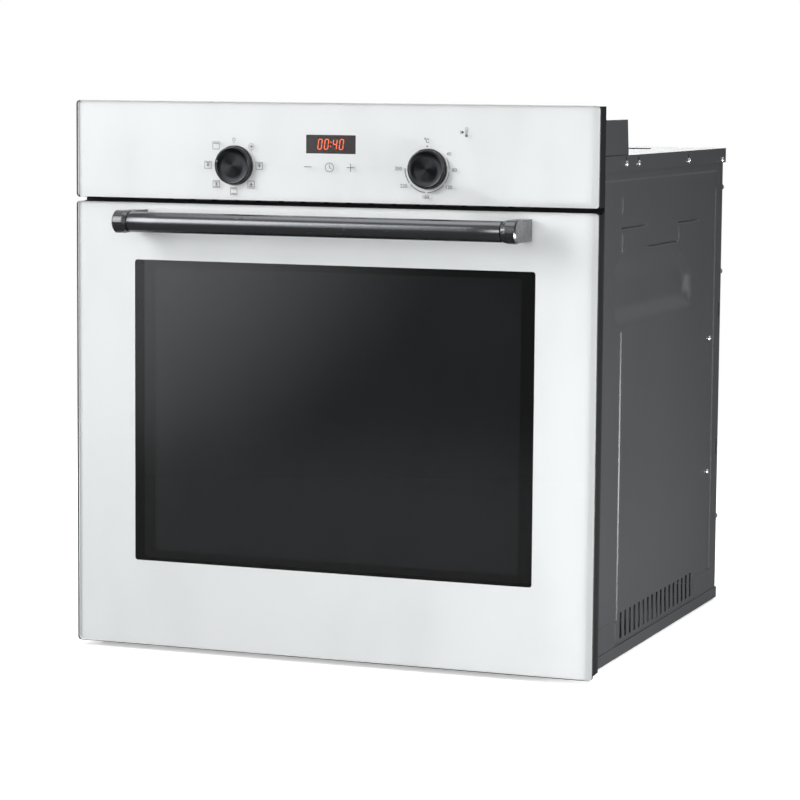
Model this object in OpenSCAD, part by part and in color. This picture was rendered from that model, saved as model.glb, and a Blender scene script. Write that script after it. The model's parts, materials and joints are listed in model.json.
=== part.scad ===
// Built-in electric wall oven, 60 cm class, drop-down glass door.
// Frame: +Z up, -Y towards the cook, +X to the cook's right.
// Origin: on the base, centred on the width, in the plane of the cabinet front.

/* [Front] */
// Width of the door and of the control panel
front_w = 595; // [592:1:597]
// Height of the whole front
front_h = 595; // [593:1:597]
// Height of the control panel
panel_h = 105; // [103:1:107]
// Open gap between the door and the control panel
front_gap = 4.2; // [3.5:0.1:5]
// How far the front stands out of the cabinet
front_d = 24; // [23.5:0.5:25]
// Height of the front's lower edge above the base
front_z = 3; // [3:0.5:4]
// Thickness of the outer glass
glass_t = 4; // [4:0.1:4.2]
// Corner radius of the outer glass
glass_r = 4; // [3:0.5:6]

/* [Door window] */
// Width of the clear window in the door's print
window_w = 458; // [440:1:470]
// Height of the clear window
window_h = 330; // [300:1:340]
// Height of the window's lower edge above the base
window_z = 96.5; // [90:0.5:110]

/* [Body] */
// Width of the body that goes into the cabinet
body_w = 560; // [558:1:562]
// Height of the body
body_h = 544.5; // [544:0.5:548]
// Depth of the body behind the cabinet front
body_d = 543; // [541:1:548]
// Number of side vent slots
vent_n = 17; // [11:2:17]

/* [Handle] */
// Length of the handle over its brackets
handle_l = 454; // [430:2:480]
// Diameter of the bar
handle_dia = 22; // [18:1:24]
// Distance of the bar's axis from the glass
handle_off = 46; // [40:1:50]
// Width of each bracket
bracket_w = 16; // [14:1:20]

/* [Knobs] */
// Diameter of a knob
knob_dia = 40.5; // [38:0.5:42]
// How far a pushed-in knob stands out of the glass
knob_out = 5.5; // [4:0.5:8]
// Distance of each knob from the middle
knob_x = 110; // [100:1:120]
// Radial gap around a knob
knob_gap = 0.7; // [0.5:0.1:1.2]

/* [Hidden] */
$fn = 48;

// planes of the front
yg = -front_d;               // front face of the outer glass
yb = yg + glass_t;           // rear face of the outer glass
print_t = 0.3;
yp = yb + print_t;           // rear face of the print
fz1 = front_z + front_h;     // top of the front
pz0 = fz1 - panel_h;         // lower edge of the control panel
dz1 = pz0 - front_gap;       // top edge of the door
dz0 = front_z;               // lower edge of the door
hw = front_w / 2;
bw = body_w / 2;
sh = 1.2;                    // casing sheet
band = 0.1;                  // step of the flange's inner band

// cavity, inside faces
cx = 229; cz0 = 92; cz1 = 446; cy0 = 12.5; cy1 = 420; cw = 1.5;
fan_z = (cz0 + cz1) / 2;
// insulation blanket
ix = 252; iz0 = 52; iz1 = 469; iy1 = 443;
// recess of the front frame
rx = 274; rz0 = 6; rz1 = 488; ry = 14;
// controls
kz = 530.5;                  // height of the knob axes
kr = knob_dia / 2;
hole_r = kr + knob_gap;
shaft_r = 3;
// hinge pivot
py = -10.5; pz = 11.5; pin_r = 3;
// hinge centre line, left and right
hx = 260;
// handle
hz = dz1 - 19;
hy = yg - handle_off;
hr = handle_dia / 2;
hx1 = handle_l / 2;          // outer end of the bracket
hx0 = hx1 - bracket_w;       // inner end of the bracket
// racks
wire = 2.2; rack_x = 222;
levels = [130, 185, 240, 295, 350];
shelf_z = 295 + 3.9;
tray_z = 130 + wire + 0.4;
// lamp
lx = 180; lz = 400;
// cooling blower
by = 300; bz = 505;
// mains terminals
tx = -220; tz = 485;

// ---------- helpers ----------
// flat plate outline with round corners, drawn in X and Z, thickness along +Y
module rr(w, h, r) {
  union() {
    square([w - 2 * r, h], center = true);
    square([w, h - 2 * r], center = true);
    for (i = [-1, 1], j = [-1, 1])
      translate([i * (w / 2 - r), j * (h / 2 - r)]) circle(r, $fn = 40);
  }
}
// place a drawing of X and Z at y0, thick t towards +Y
module xz(y0, t) { translate([0, y0 + t, 0]) rotate([90, 0, 0]) linear_extrude(t) children(); }
// place a drawing of Y and Z at x0, thick t towards +X
module yz(x0, t) { translate([x0, 0, 0]) rotate([90, 0, 90]) linear_extrude(t) children(); }
// box from its lowest to its highest corner
module bx(a, b) { translate(a) cube([b[0] - a[0], b[1] - a[1], b[2] - a[2]]); }
// rods along the axes
module rodx(x0, x1, y, z, r) { translate([x0, y, z]) rotate([0, 90, 0]) cylinder(h = x1 - x0, r = r); }
module rody(y0, y1, x, z, r) { translate([x, y0, z]) rotate([-90, 0, 0]) cylinder(h = y1 - y0, r = r); }
module rodz(z0, z1, x, y, r) { translate([x, y, z0]) cylinder(h = z1 - z0, r = r); }
module both() { children(); mirror([1, 0, 0]) children(); }
// half turn of a tube lying flat, centre x, y, z, opening towards dir
module bend(x, y, z, rr1, r, dir) {
  translate([x, y, z]) rotate([0, 0, dir > 0 ? 180 : 0])
    rotate_extrude(angle = 180) translate([rr1, 0]) circle(r, $fn = 24);
}

// ---------- casing ----------
module front_frame() color([0.20, 0.21, 0.22]) difference() {
  union() {
    // flanges, each side: the outer band meets the cabinet, the inner band
    // stops a little short of it and carries the side wall
    both() bx([rx - sh, -sh, dz0 + 5], [hw - 1, -band, fz1 - 12]);
    both() bx([bw + 1.4, -sh, dz0 + 5], [hw - 1, 0, fz1 - 12]);
    // rolled outer edges
    both() bx([hw - 1 - sh, -6, dz0 + 5], [hw - 1, 0, dz1]);
    // cross-piece above the door, with the air outlet
    bx([-rx, -sh, rz1], [rx, 0, rz1 + 14]);
    // recess walls
    both() bx([rx - sh, -sh, rz0], [rx, ry + sh, rz1 + sh]);
    bx([-rx, -sh, rz0], [rx, ry + sh, rz0 + sh]);
    bx([-rx, -sh, rz1], [rx, ry + sh, rz1 + sh]);
    // recess floor
    bx([-rx, ry, rz0], [rx, ry + sh, rz1 + sh]);
  }
  // mouth of the cavity
  bx([-cx - cw, -1, cz0 - cw], [cx + cw, ry + 5, cz1 + cw]);
  // slots for the hinge arms
  both() bx([hx - 4, ry - 1, 8.7], [hx + 4, ry + sh + 1, 21]);
  // air outlet slots
  for (i = [-8 : 8]) bx([i * 26 - 10, -3, rz1 + 3.5], [i * 26 + 10, 3, rz1 + 9]);
  // screw holes for the cabinet
  both() for (z = [120, 400]) rody(-4, 3, 285, z, 2.5);
}

// pressed side wall, drawn for the right-hand side
module side_wall() {
  x0 = bw - sh;              // inner face of the raised field
  difference() {
    union() {
      difference() {
        union() {
          // low field
          yz(x0 - 1.2, sh) translate([-band, 13]) square([body_d - sh + band, body_h - 14.3]);
          // raised field and the raised vent strip
          yz(x0 - 1.2, sh + 1.2) {
            translate([24, 40]) square([500, 478]);
            translate([118, 15]) square([319, 30]);
          }
        }
        // hollow behind the raised field
        yz(x0 - 2, 2) {
          translate([24 + sh, 40 + sh]) square([500 - 2 * sh, 478 - 2 * sh]);
          translate([118 + sh, 15 + sh]) square([319 - 2 * sh, 30]);
        }
        // channel across the wall
        bx([x0 - 5, 96, 363], [bw + 5, 404, 438]);
      }
      // sloping sheet of the channel
      translate([0, 404, 0]) rotate([90, 0, 0]) linear_extrude(308)
        polygon([[bw, 363], [bw - 2.4, 384], [bw - 2.4, 402], [bw, 438],
                 [bw - sh, 438], [bw - 2.4 - sh, 402.4], [bw - 2.4 - sh, 383.6], [bw - sh, 363]]);
      // ends of the channel
      for (y = [96, 404 - sh]) translate([0, y + sh, 0]) rotate([90, 0, 0]) linear_extrude(sh)
        polygon([[bw, 363], [bw, 438], [bw - sh, 438], [bw - 2.4 - sh, 402.4], [bw - 2.4 - sh, 383.6], [bw - sh, 363]]);
      // upright beads
      for (b = [[119, 42, 356], [503, 41, 496], [118, 484, 502], [120, 442, 461], [342, 446, 460]])
        intersection() {
          rodz(b[1], b[2], bw - 0.7, b[0], 1.7);
          bx([bw - 0.6, b[0] - 3, b[1]], [bw + 2, b[0] + 3, b[2]]);
        }
      // rear flange
      bx([bw - 16, body_d - 2 * sh, 13], [bw - sh, body_d - sh, body_h - 20]);
    }
    // pressed lines
    for (l = [[119, 207, 467], [215, 340, 443], [344, 428, 464]])
      bx([bw - 0.8, l[0], l[2] - 1], [bw + 1, l[1], l[2] + 1]);
    // vent slots
    for (i = [0 : vent_n - 1])
      bx([bw - 6, 137.5 + i * 284 / (vent_n - 1) - 3.6, 19.5], [bw + 3, 137.5 + i * 284 / (vent_n - 1) + 3.6, 48]);
    // service slots near the rear edge
    for (z = [341, 177]) bx([bw - 6, 531, z], [bw + 3, 535.5, z + 18]);
    // screw holes
    for (p = [[488, 320], [489, 160]]) rodx(bw - 6, bw + 3, p[0], p[1], 1.7);
    for (z = [100, 397, 498]) rody(body_d - 4, body_d + 1, 270, z, 1.7);
    for (p = [[128, 535.5], [175, 535], [378, 533], [529, 531]]) rodx(bw - 6, bw + 3, p[0], p[1], 1.7);
  }
}
module side_panel_right() color([0.24, 0.25, 0.26]) side_wall();
module side_panel_left() color([0.24, 0.25, 0.26]) mirror([1, 0, 0]) side_wall();

module top_cover() color([0.19, 0.20, 0.21]) difference() {
  union() {
    bx([-bw - sh, 2, body_h - sh], [bw + sh, body_d + 1, body_h]);
    both() bx([bw, 2, body_h - 17], [bw + sh, body_d + 1, body_h]);
    // stiffening ribs
    for (y = [200, 420]) bx([-220, y, body_h], [220, y + 12, body_h + 1.2]);
  }
  // opening under the control housing
  bx([-bw + 4, -1, body_h - 3], [bw - 4, 130, body_h + 3]);
  for (y = [200, 420]) bx([-219, y + 1, body_h - 3], [219, y + 11, body_h]);
  // air inlet louvres
  for (i = [-9 : 9]) bx([i * 16 - 4, 330, body_h - 4], [i * 16 + 4, 390, body_h + 3]);
  both() for (p = [[128, 535.5], [175, 535], [378, 533], [529, 531]]) rodx(bw - 3, bw + 3, p[0], p[1], 1.7);
}

module rear_cover() color([0.55, 0.56, 0.57]) difference() {
  union() {
    bx([-bw + sh + 1, body_d - sh, 13.2], [bw - sh - 1, body_d, body_h - sh - 0.1]);
    // pressed motor cover
    rody(body_d - 0.2, body_d + 1, 0, fan_z, 110);
  }
  rody(body_d - 4, body_d - 0.1, 0, fan_z, 109);
  for (i = [-5 : 5]) bx([i * 14 - 3, body_d - 5, fan_z - 55], [i * 14 + 3, body_d + 3, fan_z + 55]);
  for (s = [-1, 1], i = [0 : 5]) bx([s * 200 - 35, body_d - 5, 60 + i * 14], [s * 200 + 35, body_d + 3, 66 + i * 14]);
  bx([tx - 30, body_d - 5, tz - 30], [tx + 30, body_d + 3, tz + 30]);
  both() for (z = [100, 397, 498]) rody(body_d - 4, body_d + 1, 270, z, 1.7);
}

module base_tray() color([0.22, 0.23, 0.24]) difference() {
  union() {
    bx([-bw, 0, 0], [bw, body_d, sh]);
    both() bx([bw - sh, 0, 0], [bw, body_d, 13]);
    bx([-bw, body_d - sh, 0], [bw, body_d, 13]);
    bx([-bw, 0, 0], [bw, sh, 5]);
    for (x = [-180, 0, 180]) bx([x - 12, 40, 0], [x + 12, 500, 4]);
  }
  for (x = [-180, 0, 180]) bx([x - 10.5, 42, -1], [x + 10.5, 498, 2.6]);
}

module control_housing() color([0.17, 0.18, 0.19]) difference() {
  translate([-bw, 0, 0]) yz(0, body_w)
    polygon([[1, body_h], [139, body_h], [134, 582.5], [1, 582.5]]);
  translate([-bw + sh, 0, 0]) yz(0, body_w - 2 * sh)
    polygon([[-2, body_h - 1], [139 - sh, body_h - 1], [134 - sh, 582.5 - sh], [-2, 582.5 - sh]]);
  for (i = [-6 : 6]) bx([i * 30 - 9, 60, 578], [i * 30 + 9, 64, 590]);
}

// ---------- cavity ----------
module oven_cavity() color([0.12, 0.12, 0.14]) difference() {
  union() {
    bx([-cx - cw, cy0, cz0 - cw], [cx + cw, cy1 + cw, cz1 + cw]);
    // flange round the mouth
    xz(cy0, cw) translate([0, fan_z]) rr(2 * (cx + 16), cz1 - cz0 + 32, 8);
  }
  bx([-cx, cy0 - 1, cz0], [cx, cy1, cz1]);
  // openings in the rear wall
  rody(cy1 - 1, cy1 + 5, 0, fan_z, 9);
  rody(cy1 - 1, cy1 + 5, lx, lz, 22);
  for (x = [-150, 150]) rody(cy1 - 1, cy1 + 5, x, 432, 4.5);
  for (x = [-11, 11]) rody(cy1 - 1, cy1 + 5, x, fan_z - 94, 4.5);
  rody(cy1 - 1, cy1 + 5, 215, 436, 1.6);
}

module cavity_insulation() color([0.86, 0.80, 0.55]) difference() {
  bx([-ix, ry + sh + 1, iz0], [ix, iy1, iz1]);
  // cavity and the space for the lower element
  bx([-cx - cw, 0, 74], [cx + cw, cy1 + cw, cz1 + cw]);
  rody(cy1, iy1 + 2, 0, fan_z, 14);
  rody(cy1, iy1 + 2, lx, lz, 24);
  for (x = [-150, 150]) rody(cy1, iy1 + 2, x, 432, 5);
  for (x = [-11, 11]) rody(cy1, iy1 + 2, x, fan_z - 94, 5);
  for (x = [-120, 120]) rody(cy1, iy1 + 2, x, 83, 5);
  rody(cy1, iy1 + 2, 215, 436, 2);
}

// ring seal round the mouth
module door_gasket() color([0.35, 0.34, 0.33]) xz(9.4, cy0 - 9.4) difference() {
  translate([0, fan_z]) rr(2 * (cx + 13), cz1 - cz0 + 26, 9);
  translate([0, fan_z]) rr(2 * (cx + 6), cz1 - cz0 + 12, 5);
}

module rack_side() {
  for (z = levels, d = [0, 12]) rody(36, 356, rack_x, z + d, wire);
  for (y = [40, 352]) {
    rodz(112, 384, rack_x + 2.6, y, 2.5);
    for (z = [120, 376]) rodx(rack_x + 3, cx, y, z, 3);
  }
}
module rack_support_right() color([0.80, 0.80, 0.82]) rack_side();
module rack_support_left() color([0.80, 0.80, 0.82]) mirror([1, 0, 0]) rack_side();

module wire_shelf() color([0.82, 0.82, 0.84]) {
  for (s = [-1, 1]) rody(34, 366, s * 218, shelf_z, 3);
  for (y = [34, 366]) rodx(-218, 218, y, shelf_z, 3);
  for (s = [-1, 1], y = [34, 366]) translate([s * 218, y, shelf_z]) sphere(3, $fn = 32);
  for (i = [-9 : 9]) rody(34, 366, i * 21.6, shelf_z, 1.6);
  for (y = [145, 255]) rodx(-218, 218, y, shelf_z, 2);
}

module baking_tray() color([0.15, 0.15, 0.17]) {
  xz0 = 206;
  difference() {
    union() {
      translate([0, 200, tray_z]) linear_extrude(1.4) rr(441, 336, 14);
      translate([0, 200, tray_z - 24]) linear_extrude(25) rr(2 * xz0 + 6, 322, 16);
    }
    translate([0, 200, tray_z - 22.6]) linear_extrude(30) rr(2 * xz0 + 3, 319, 15);
  }
}

module fan_baffle() color([0.16, 0.16, 0.18]) difference() {
  xz(374, cy1 - 0.2 - 374) translate([0, fan_z]) rr(260, 260, 18);
  xz(375.4, 60) translate([0, fan_z]) rr(257.2, 257.2, 17);
  // suction grille
  for (k = [1 : 4], i = [0 : 6 * k - 1])
    rody(370, 378, k * 11 * cos(i * 60 / k), fan_z + k * 11 * sin(i * 60 / k), 3.6);
  rody(370, 378, 0, fan_z, 3.6);
  // outlet slots
  for (s = [-1, 1], i = [-3 : 3]) {
    bx([s * 112 - 4, 370, fan_z + i * 26 - 9], [s * 112 + 4, 378, fan_z + i * 26 + 9]);
    bx([i * 26 - 9, 370, fan_z + s * 112 - 4], [i * 26 + 9, 378, fan_z + s * 112 + 4]);
    bx([s * 130 - 5, 385, fan_z + i * 26 - 9], [s * 130 + 5, 412, fan_z + i * 26 + 9]);
  }
}

module convection_fan() color([0.62, 0.63, 0.65]) {
  rody(408, 409.2, 0, fan_z, 70);
  rody(388, 409, 0, fan_z, 12);
  rody(388, 470, 0, fan_z, 4);
  for (i = [0 : 11]) translate([0, 0, fan_z]) rotate([0, i * 30, 0])
    translate([30, 389, 0]) rotate([0, 22, 0]) cube([36, 19.5, 1.2]);
}

module fan_motor() color([0.45, 0.46, 0.48]) difference() {
  union() {
    bx([-46, iy1, fan_z - 46], [46, iy1 + 1.5, fan_z + 46]);
    rody(iy1 + 1, iy1 + 46, 0, fan_z, 33);
    bx([-20, iy1 + 12, fan_z - 44], [20, iy1 + 38, fan_z + 44]);
  }
  rody(iy1 - 2, iy1 + 32, 0, fan_z, 4.05);
}

module ring_element() color([0.30, 0.27, 0.26]) {
  translate([0, 398, fan_z]) rotate([90, 0, 0]) rotate([0, 0, -83.3])
    rotate_extrude(angle = 346.6) translate([94.6, 0]) circle(3.3, $fn = 24);
  for (x = [-11, 11]) rody(396, 462, x, fan_z - 94, 3.3);
}

module grill_element() color([0.33, 0.29, 0.27]) {
  for (x = [-150 : 60 : 150]) rody(90, 350, x, 432, 3.3);
  for (x = [-120, 0, 120]) bend(x, 90, 432, 30, 3.3, 1);
  for (x = [-60, 60]) bend(x, 350, 432, 30, 3.3, -1);
  for (x = [-150, 150]) rody(350, 462, x, 432, 3.3);
  // ceiling clips
  for (x = [-90, 90], y = [120, 320]) bx([x - 2.6, y - 5, 433.4], [x + 2.6, y + 5, cz1]);
}

module bottom_element() color([0.33, 0.29, 0.27]) {
  for (x = [-120 : 48 : 120]) rody(90, 350, x, 83, 3.3);
  for (x = [-96, 0, 96]) bend(x, 90, 83, 24, 3.3, 1);
  for (x = [-48, 48]) bend(x, 350, 83, 24, 3.3, -1);
  for (x = [-120, 120]) rody(350, 462, x, 83, 3.3);
}

module thermostat_sensor() color([0.75, 0.70, 0.62]) {
  rody(300, 392, 215, 436, 3);
  rody(392, 458, 215, 436, 1.1);
}

module lamp_socket() color([0.90, 0.89, 0.85]) difference() {
  union() {
    rody(cy1, 456, lx, lz, 21);
    rody(iy1, iy1 + 3, lx, lz, 28);
  }
  rody(cy1 - 1, 440, lx, lz, 15);
}
module lamp_bulb() color([0.95, 0.93, 0.85]) {
  rody(424, 440, lx, lz, 7);
  translate([lx, 419, lz]) sphere(10);
}
module lamp_lens() color([0.85, 0.90, 0.92]) difference() {
  union() {
    rody(414, cy1 - 0.2, lx, lz, 26);
    translate([lx, cy1 - 0.2, lz]) rotate([90, 0, 0]) cylinder(h = 15, r1 = 25, r2 = 19);
  }
  translate([lx, cy1 + 1, lz]) rotate([90, 0, 0]) cylinder(h = 13.6, r1 = 22, r2 = 16);
}

// ---------- cooling air ----------
module cooling_fan_housing() color([0.60, 0.61, 0.62]) difference() {
  bx([-108, 264, 471], [108, 336, 538]);
  // blower chamber, open to the front duct and to the top
  rodx(-106, 106, by, bz, 31);
  bx([-106, 262, 473], [106, by, 503]);
  bx([-106, by + 4, 520], [106, 330, 540]);
  rodx(-110, 110, by, bz, shaft_r + 0.05);
}
module cooling_rotor() color([0.70, 0.71, 0.72]) {
  rodx(-109, 138, by, bz, shaft_r);
  for (x = [-100, -34, 32, 98]) rodx(x, x + 2, by, bz, 26);
  for (i = [0 : 17]) translate([0, by, bz]) rotate([i * 20, 0, 0])
    translate([-100, 20, -0.6]) rotate([25, 0, 0]) cube([200, 5.4, 1.2]);
}
module cooling_fan_motor() color([0.40, 0.41, 0.43]) difference() {
  union() {
    rodx(108, 146, by, bz, 24);
    bx([112, by - 32, bz - 33.5], [142, by + 32, bz - 14]);
  }
  rodx(107, 140, by, bz, shaft_r + 0.05);
}
module air_duct() color([0.62, 0.63, 0.64]) difference() {
  translate([0, 0, 474]) linear_extrude(28)
    polygon([[-108, 264], [108, 264], [200, 90], [200, 17], [-200, 17], [-200, 90]]);
  translate([0, 0, 475]) linear_extrude(26)
    polygon([[-107, 266], [107, 266], [199, 90.2], [199, 15], [-199, 15], [-199, 90.2]]);
}

// ---------- mains terminals ----------
module terminal_block() color([0.88, 0.87, 0.80]) {
  bx([tx - 26, 500, tz - 26], [tx + 26, 512, tz + 10]);
  for (i = [-2 : 2]) bx([tx + i * 10 - 4, 512, tz - 22], [tx + i * 10 + 4, 522, tz + 6]);
  bx([tx - 26, 500, tz + 10], [tx + 26, 503, tz + 26]);
}
module terminal_cover() color([0.10, 0.10, 0.11]) difference() {
  union() {
    bx([tx - 34, body_d, tz - 34], [tx + 34, body_d + 1.5, tz + 34]);
    rody(body_d - 11, body_d + 2.5, tx, tz, 11);
  }
  rody(body_d - 20, body_d + 5, tx, tz, 6.5);
}

// ---------- controls ----------
module control_panel_glass() color([0.93, 0.95, 0.95, 0.4]) difference() {
  xz(yg, glass_t) translate([0, (pz0 + fz1) / 2]) rr(front_w, panel_h, glass_r);
  for (s = [-1, 1]) rody(yg - 2, yb + 2, s * knob_x, kz, hole_r);
}
module control_panel_print() color([0.95, 0.95, 0.95]) difference() {
  xz(yb, print_t) translate([0, (pz0 + fz1) / 2]) rr(front_w - 1, panel_h - 1, glass_r);
  for (s = [-1, 1]) rody(yb - 2, yp + 2, s * knob_x, kz, hole_r);
  bx([-28.2, yb - 1, 544.5], [28.2, yp + 1, 564.2]);
  rody(yb - 1, yp + 1, 147.4, 569.2, 1.3);
}
module control_panel_frame() color([0.07, 0.07, 0.075]) difference() {
  bx([-hw + 0.6, yp, pz0 + 0.6], [hw - 0.6, -sh - 0.1, fz1 - 0.6]);
  bx([-hw + 3, yp + 1.5, pz0 + 3], [hw - 3, 5, fz1 - 3]);
  for (s = [-1, 1]) rody(yp - 1, yp + 3, s * knob_x, kz, hole_r + 0.6);
  bx([-30, yp - 1, 542], [30, yp + 3, 566.8]);
  for (x = [-24.5, 0, 24.5]) rody(yp - 1, yp + 3, x, kz, 5);
  rody(yp - 1, yp + 3, 147.4, 569.2, 1.7);
}
module display_module() color([0.05, 0.09, 0.06]) {
  bx([-29, yp + 0.1, 543.4], [29, -12, 565.4]);
  bx([-62, -12, 512], [62, -10.4, 584]);
  for (x = [-24.5, 0, 24.5]) rody(yp + 0.1, -12, x, kz, 4);
  for (x = [-50, 50]) bx([x - 8, -10.4, 540], [x + 8, -4, 566]);
}
module indicator_lens() color([0.75, 0.35, 0.15]) {
  rody(yb, -12, 147.4, 569.2, 1.2);
  rody(yp + 1.6, -15, 147.4, 569.2, 4);
}
module control_bracket() color([0.66, 0.67, 0.68]) difference() {
  union() {
    bx([-270, 3, 504], [270, 3 + sh, 576]);
    bx([-270, 3, 504], [270, 16, 504 + sh]);
    both() bx([268.8, 1.2, 504], [270, 40, 576]);
  }
  for (s = [-1, 1]) rody(0, 8, s * knob_x, kz, 6);
}
module switch_body(s) {
  difference() {
    union() {
      rody(3 + sh, 8, s * knob_x, kz, 12);
      bx([s * knob_x - 19, 8, kz - 21], [s * knob_x + 19, 44, kz + 21]);
      for (i = [-1, 0, 1]) bx([s * knob_x + i * 12 - 0.5, 44, kz - 14], [s * knob_x + i * 12 + 0.5, 52, kz - 8]);
    }
    rody(0, 34, s * knob_x, kz, shaft_r + 0.05);
  }
}
module function_selector() color([0.82, 0.78, 0.62]) switch_body(-1);
module thermostat() color([0.75, 0.76, 0.78]) switch_body(1);
module knob_shaft(s) { rody(-22, 32, s * knob_x, kz, shaft_r); }
module function_shaft() color([0.70, 0.70, 0.72]) knob_shaft(-1);
module thermostat_shaft() color([0.70, 0.70, 0.72]) knob_shaft(1);
module knob(s) {
  yk = yg - knob_out;
  difference() {
    union() {
      rody(yk + 1.2, -5, s * knob_x, kz, kr);
      translate([s * knob_x, yk, kz]) rotate([-90, 0, 0]) cylinder(h = 1.2, r1 = kr - 1, r2 = kr);
    }
    // shallow dished face
    rody(yk - 1, yk + 0.5, s * knob_x, kz, kr - 2.4);
    // hollow behind the face, round the hub
    difference() {
      rody(yk + 3, 0, s * knob_x, kz, kr - 1.8);
      rody(yk + 2, 0, s * knob_x, kz, 6);
    }
    rody(-25, 2, s * knob_x, kz, shaft_r + 0.04);
  }
}
module function_knob() color([0.06, 0.06, 0.065]) knob(-1);
module temperature_knob() color([0.06, 0.06, 0.065]) knob(1);

// ---------- door ----------
module door_outer_glass() color([0.93, 0.95, 0.95, 0.4]) difference() {
  xz(yg, glass_t) translate([0, (dz0 + dz1) / 2]) rr(front_w, dz1 - dz0, glass_r);
  both() for (d = [-7, 3]) rody(yg - 2, yb + 2, (hx0 + hx1) / 2, hz + d, 2.3);
}
module door_glass_print() color([0.95, 0.95, 0.95]) difference() {
  xz(yb, print_t) translate([0, (dz0 + dz1) / 2]) rr(front_w - 1, dz1 - dz0 - 1, glass_r);
  xz(yb - 1, print_t + 2) translate([0, window_z + window_h / 2]) rr(window_w, window_h, 3);
  both() for (d = [-7, 3]) rody(yb - 2, yp + 2, (hx0 + hx1) / 2, hz + d, 2.3);
}
module door_column() difference() {
  union() {
    bx([250, yp, dz0 + 2], [hw - 0.6, -6.5, dz1 - 2]);
    bx([250, -7, 14], [268, 5, dz1 - 4]);
  }
  // pocket for the hinge case
  bx([hx - 6.2, -17.2, 0], [hx + 6.2, 4.2, 200]);
  // way for the hinge arm
  bx([hx - 5, -18, 0], [hx + 5, 6, 21]);
  // lower end rounded about the hinge axis, clear of the frame's rolled edge
  difference() {
    bx([270, yp - 1, 0], [hw + 2, 0, pz]);
    rodx(269, hw + 3, py, pz, 3.9);
    bx([269, yp - 2, pz - 3.9], [hw + 3, py, pz + 1]);
  }
}
module door_columns() color([0.06, 0.06, 0.065]) both() door_column();
module door_top_trim() color([0.06, 0.06, 0.065]) difference() {
  bx([-249.8, yp, dz1 - 11], [249.8, 5, dz1 - 2]);
  for (i = [-11 : 11]) bx([i * 21 - 8, -14, dz1 - 20], [i * 21 + 8, 1, dz1]);
}
module door_bottom_trim() color([0.06, 0.06, 0.065]) difference() {
  union() {
    bx([-249.8, yp, dz0 + 2], [249.8, -5, 20]);
    bx([-249.8, -6, 10], [249.8, 5, 20]);
  }
  for (i = [-11 : 11]) bx([i * 21 - 8, -14, 0], [i * 21 + 8, 1, 30]);
}
module door_middle_glass() color([0.75, 0.85, 0.82, 0.35]) bx([-249.4, -8, 20.2], [249.4, -4.8, dz1 - 11.2]);
module door_inner_glass() color([0.70, 0.82, 0.80, 0.35]) xz(5, 4) translate([0, (22 + dz1 - 5) / 2]) rr(532, dz1 - 5 - 22, 5);

module handle_bar() color([0.36, 0.37, 0.39]) rodx(-hx0 + 1.2, hx0 - 1.2, hy, hz, hr);
module handle_bracket() difference() {
  union() {
    translate([hx0, hy, hz]) rotate([0, 90, 0]) cylinder(h = 5, r1 = hr, r2 = hr + 1.2);
    rodx(hx0 + 5, hx1 - 1.5, hy, hz, hr + 1.2);
    translate([hx1 - 1.5, hy, hz]) rotate([0, 90, 0]) cylinder(h = 1.5, r1 = hr + 1.2, r2 = hr - 0.4);
    bx([hx0 + 0.5, hy, hz - hr - 0.4], [hx1 - 1, yg, hz + hr + 0.4]);
    // spigot in the bar
    rodx(hx0 - 1.2, hx0 + 1, hy, hz, hr - 1.4);
  }
  for (d = [-7, 3]) rody(yg - 14, yg + 2, (hx0 + hx1) / 2, hz + d, 2.02);
}
module handle_brackets() color([0.34, 0.35, 0.37]) both() handle_bracket();
module handle_screws() color([0.75, 0.75, 0.77]) both() for (d = [-7, 3]) {
  rody(yg - 12, yp, (hx0 + hx1) / 2, hz + d, 2);
  rody(yp, yp + 2.6, (hx0 + hx1) / 2, hz + d, 3.8);
}

// ---------- hinges ----------
module hinge_case() difference() {
  union() {
    bx([hx - 6, -17, 5], [hx + 6, -5, 195]);
    bx([hx - 6, -6, 10], [hx + 6, 4, 195]);
  }
  difference() {
    bx([hx - 4.5, -15.5, 0], [hx + 4.5, 10, 200]);
    bx([hx - 5, -16, 60], [hx + 5, -1, 62]);
  }
  bx([hx - 4.5, -20, 0], [hx + 4.5, 10, 26]);
  rodx(hx - 10, hx + 10, py, pz, pin_r + 0.02);
  rodz(50, 70, hx, -8, 2.55);
}
module hinge_cases() color([0.68, 0.69, 0.71]) both() hinge_case();
module hinge_pins() color([0.60, 0.61, 0.63]) both() rodx(hx - 6.1, hx + 6.1, py, pz, pin_r);
module hinge_arm() difference() {
  union() {
    rodx(hx - 3, hx + 3, py, pz, 6.5);
    bx([hx - 3, py, pz - 3.8], [hx + 3, 40, pz + 6]);
    bx([hx - 3, 22, pz - 7.3], [hx + 3, 34, pz + 2]);
  }
  rodx(hx - 10, hx + 10, py, pz, pin_r + 0.05);
  // notch that drops over the edge of the slot in the frame
  bx([hx - 4, ry - 0.3, 0], [hx + 4, ry + sh + 0.3, 9]);
}
module hinge_arms() color([0.62, 0.63, 0.65]) both() hinge_arm();
module hinge_receivers() color([0.66, 0.67, 0.68]) both() difference() {
  bx([hx - 9, ry + sh + 0.1, 1.5], [hx + 9, 48, 44]);
  bx([hx - 3.4, ry, 4], [hx + 3.4, 46.5, 42.5]);
  bx([hx - 7.5, ry, 24], [hx + 7.5, 46.5, 42.5]);
}
module hinge_rods() color([0.72, 0.72, 0.74]) both() {
  rodz(44, 160, hx, -8, 2.5);
  rodz(152, 156, hx, -8, 4.3);
}
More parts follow.
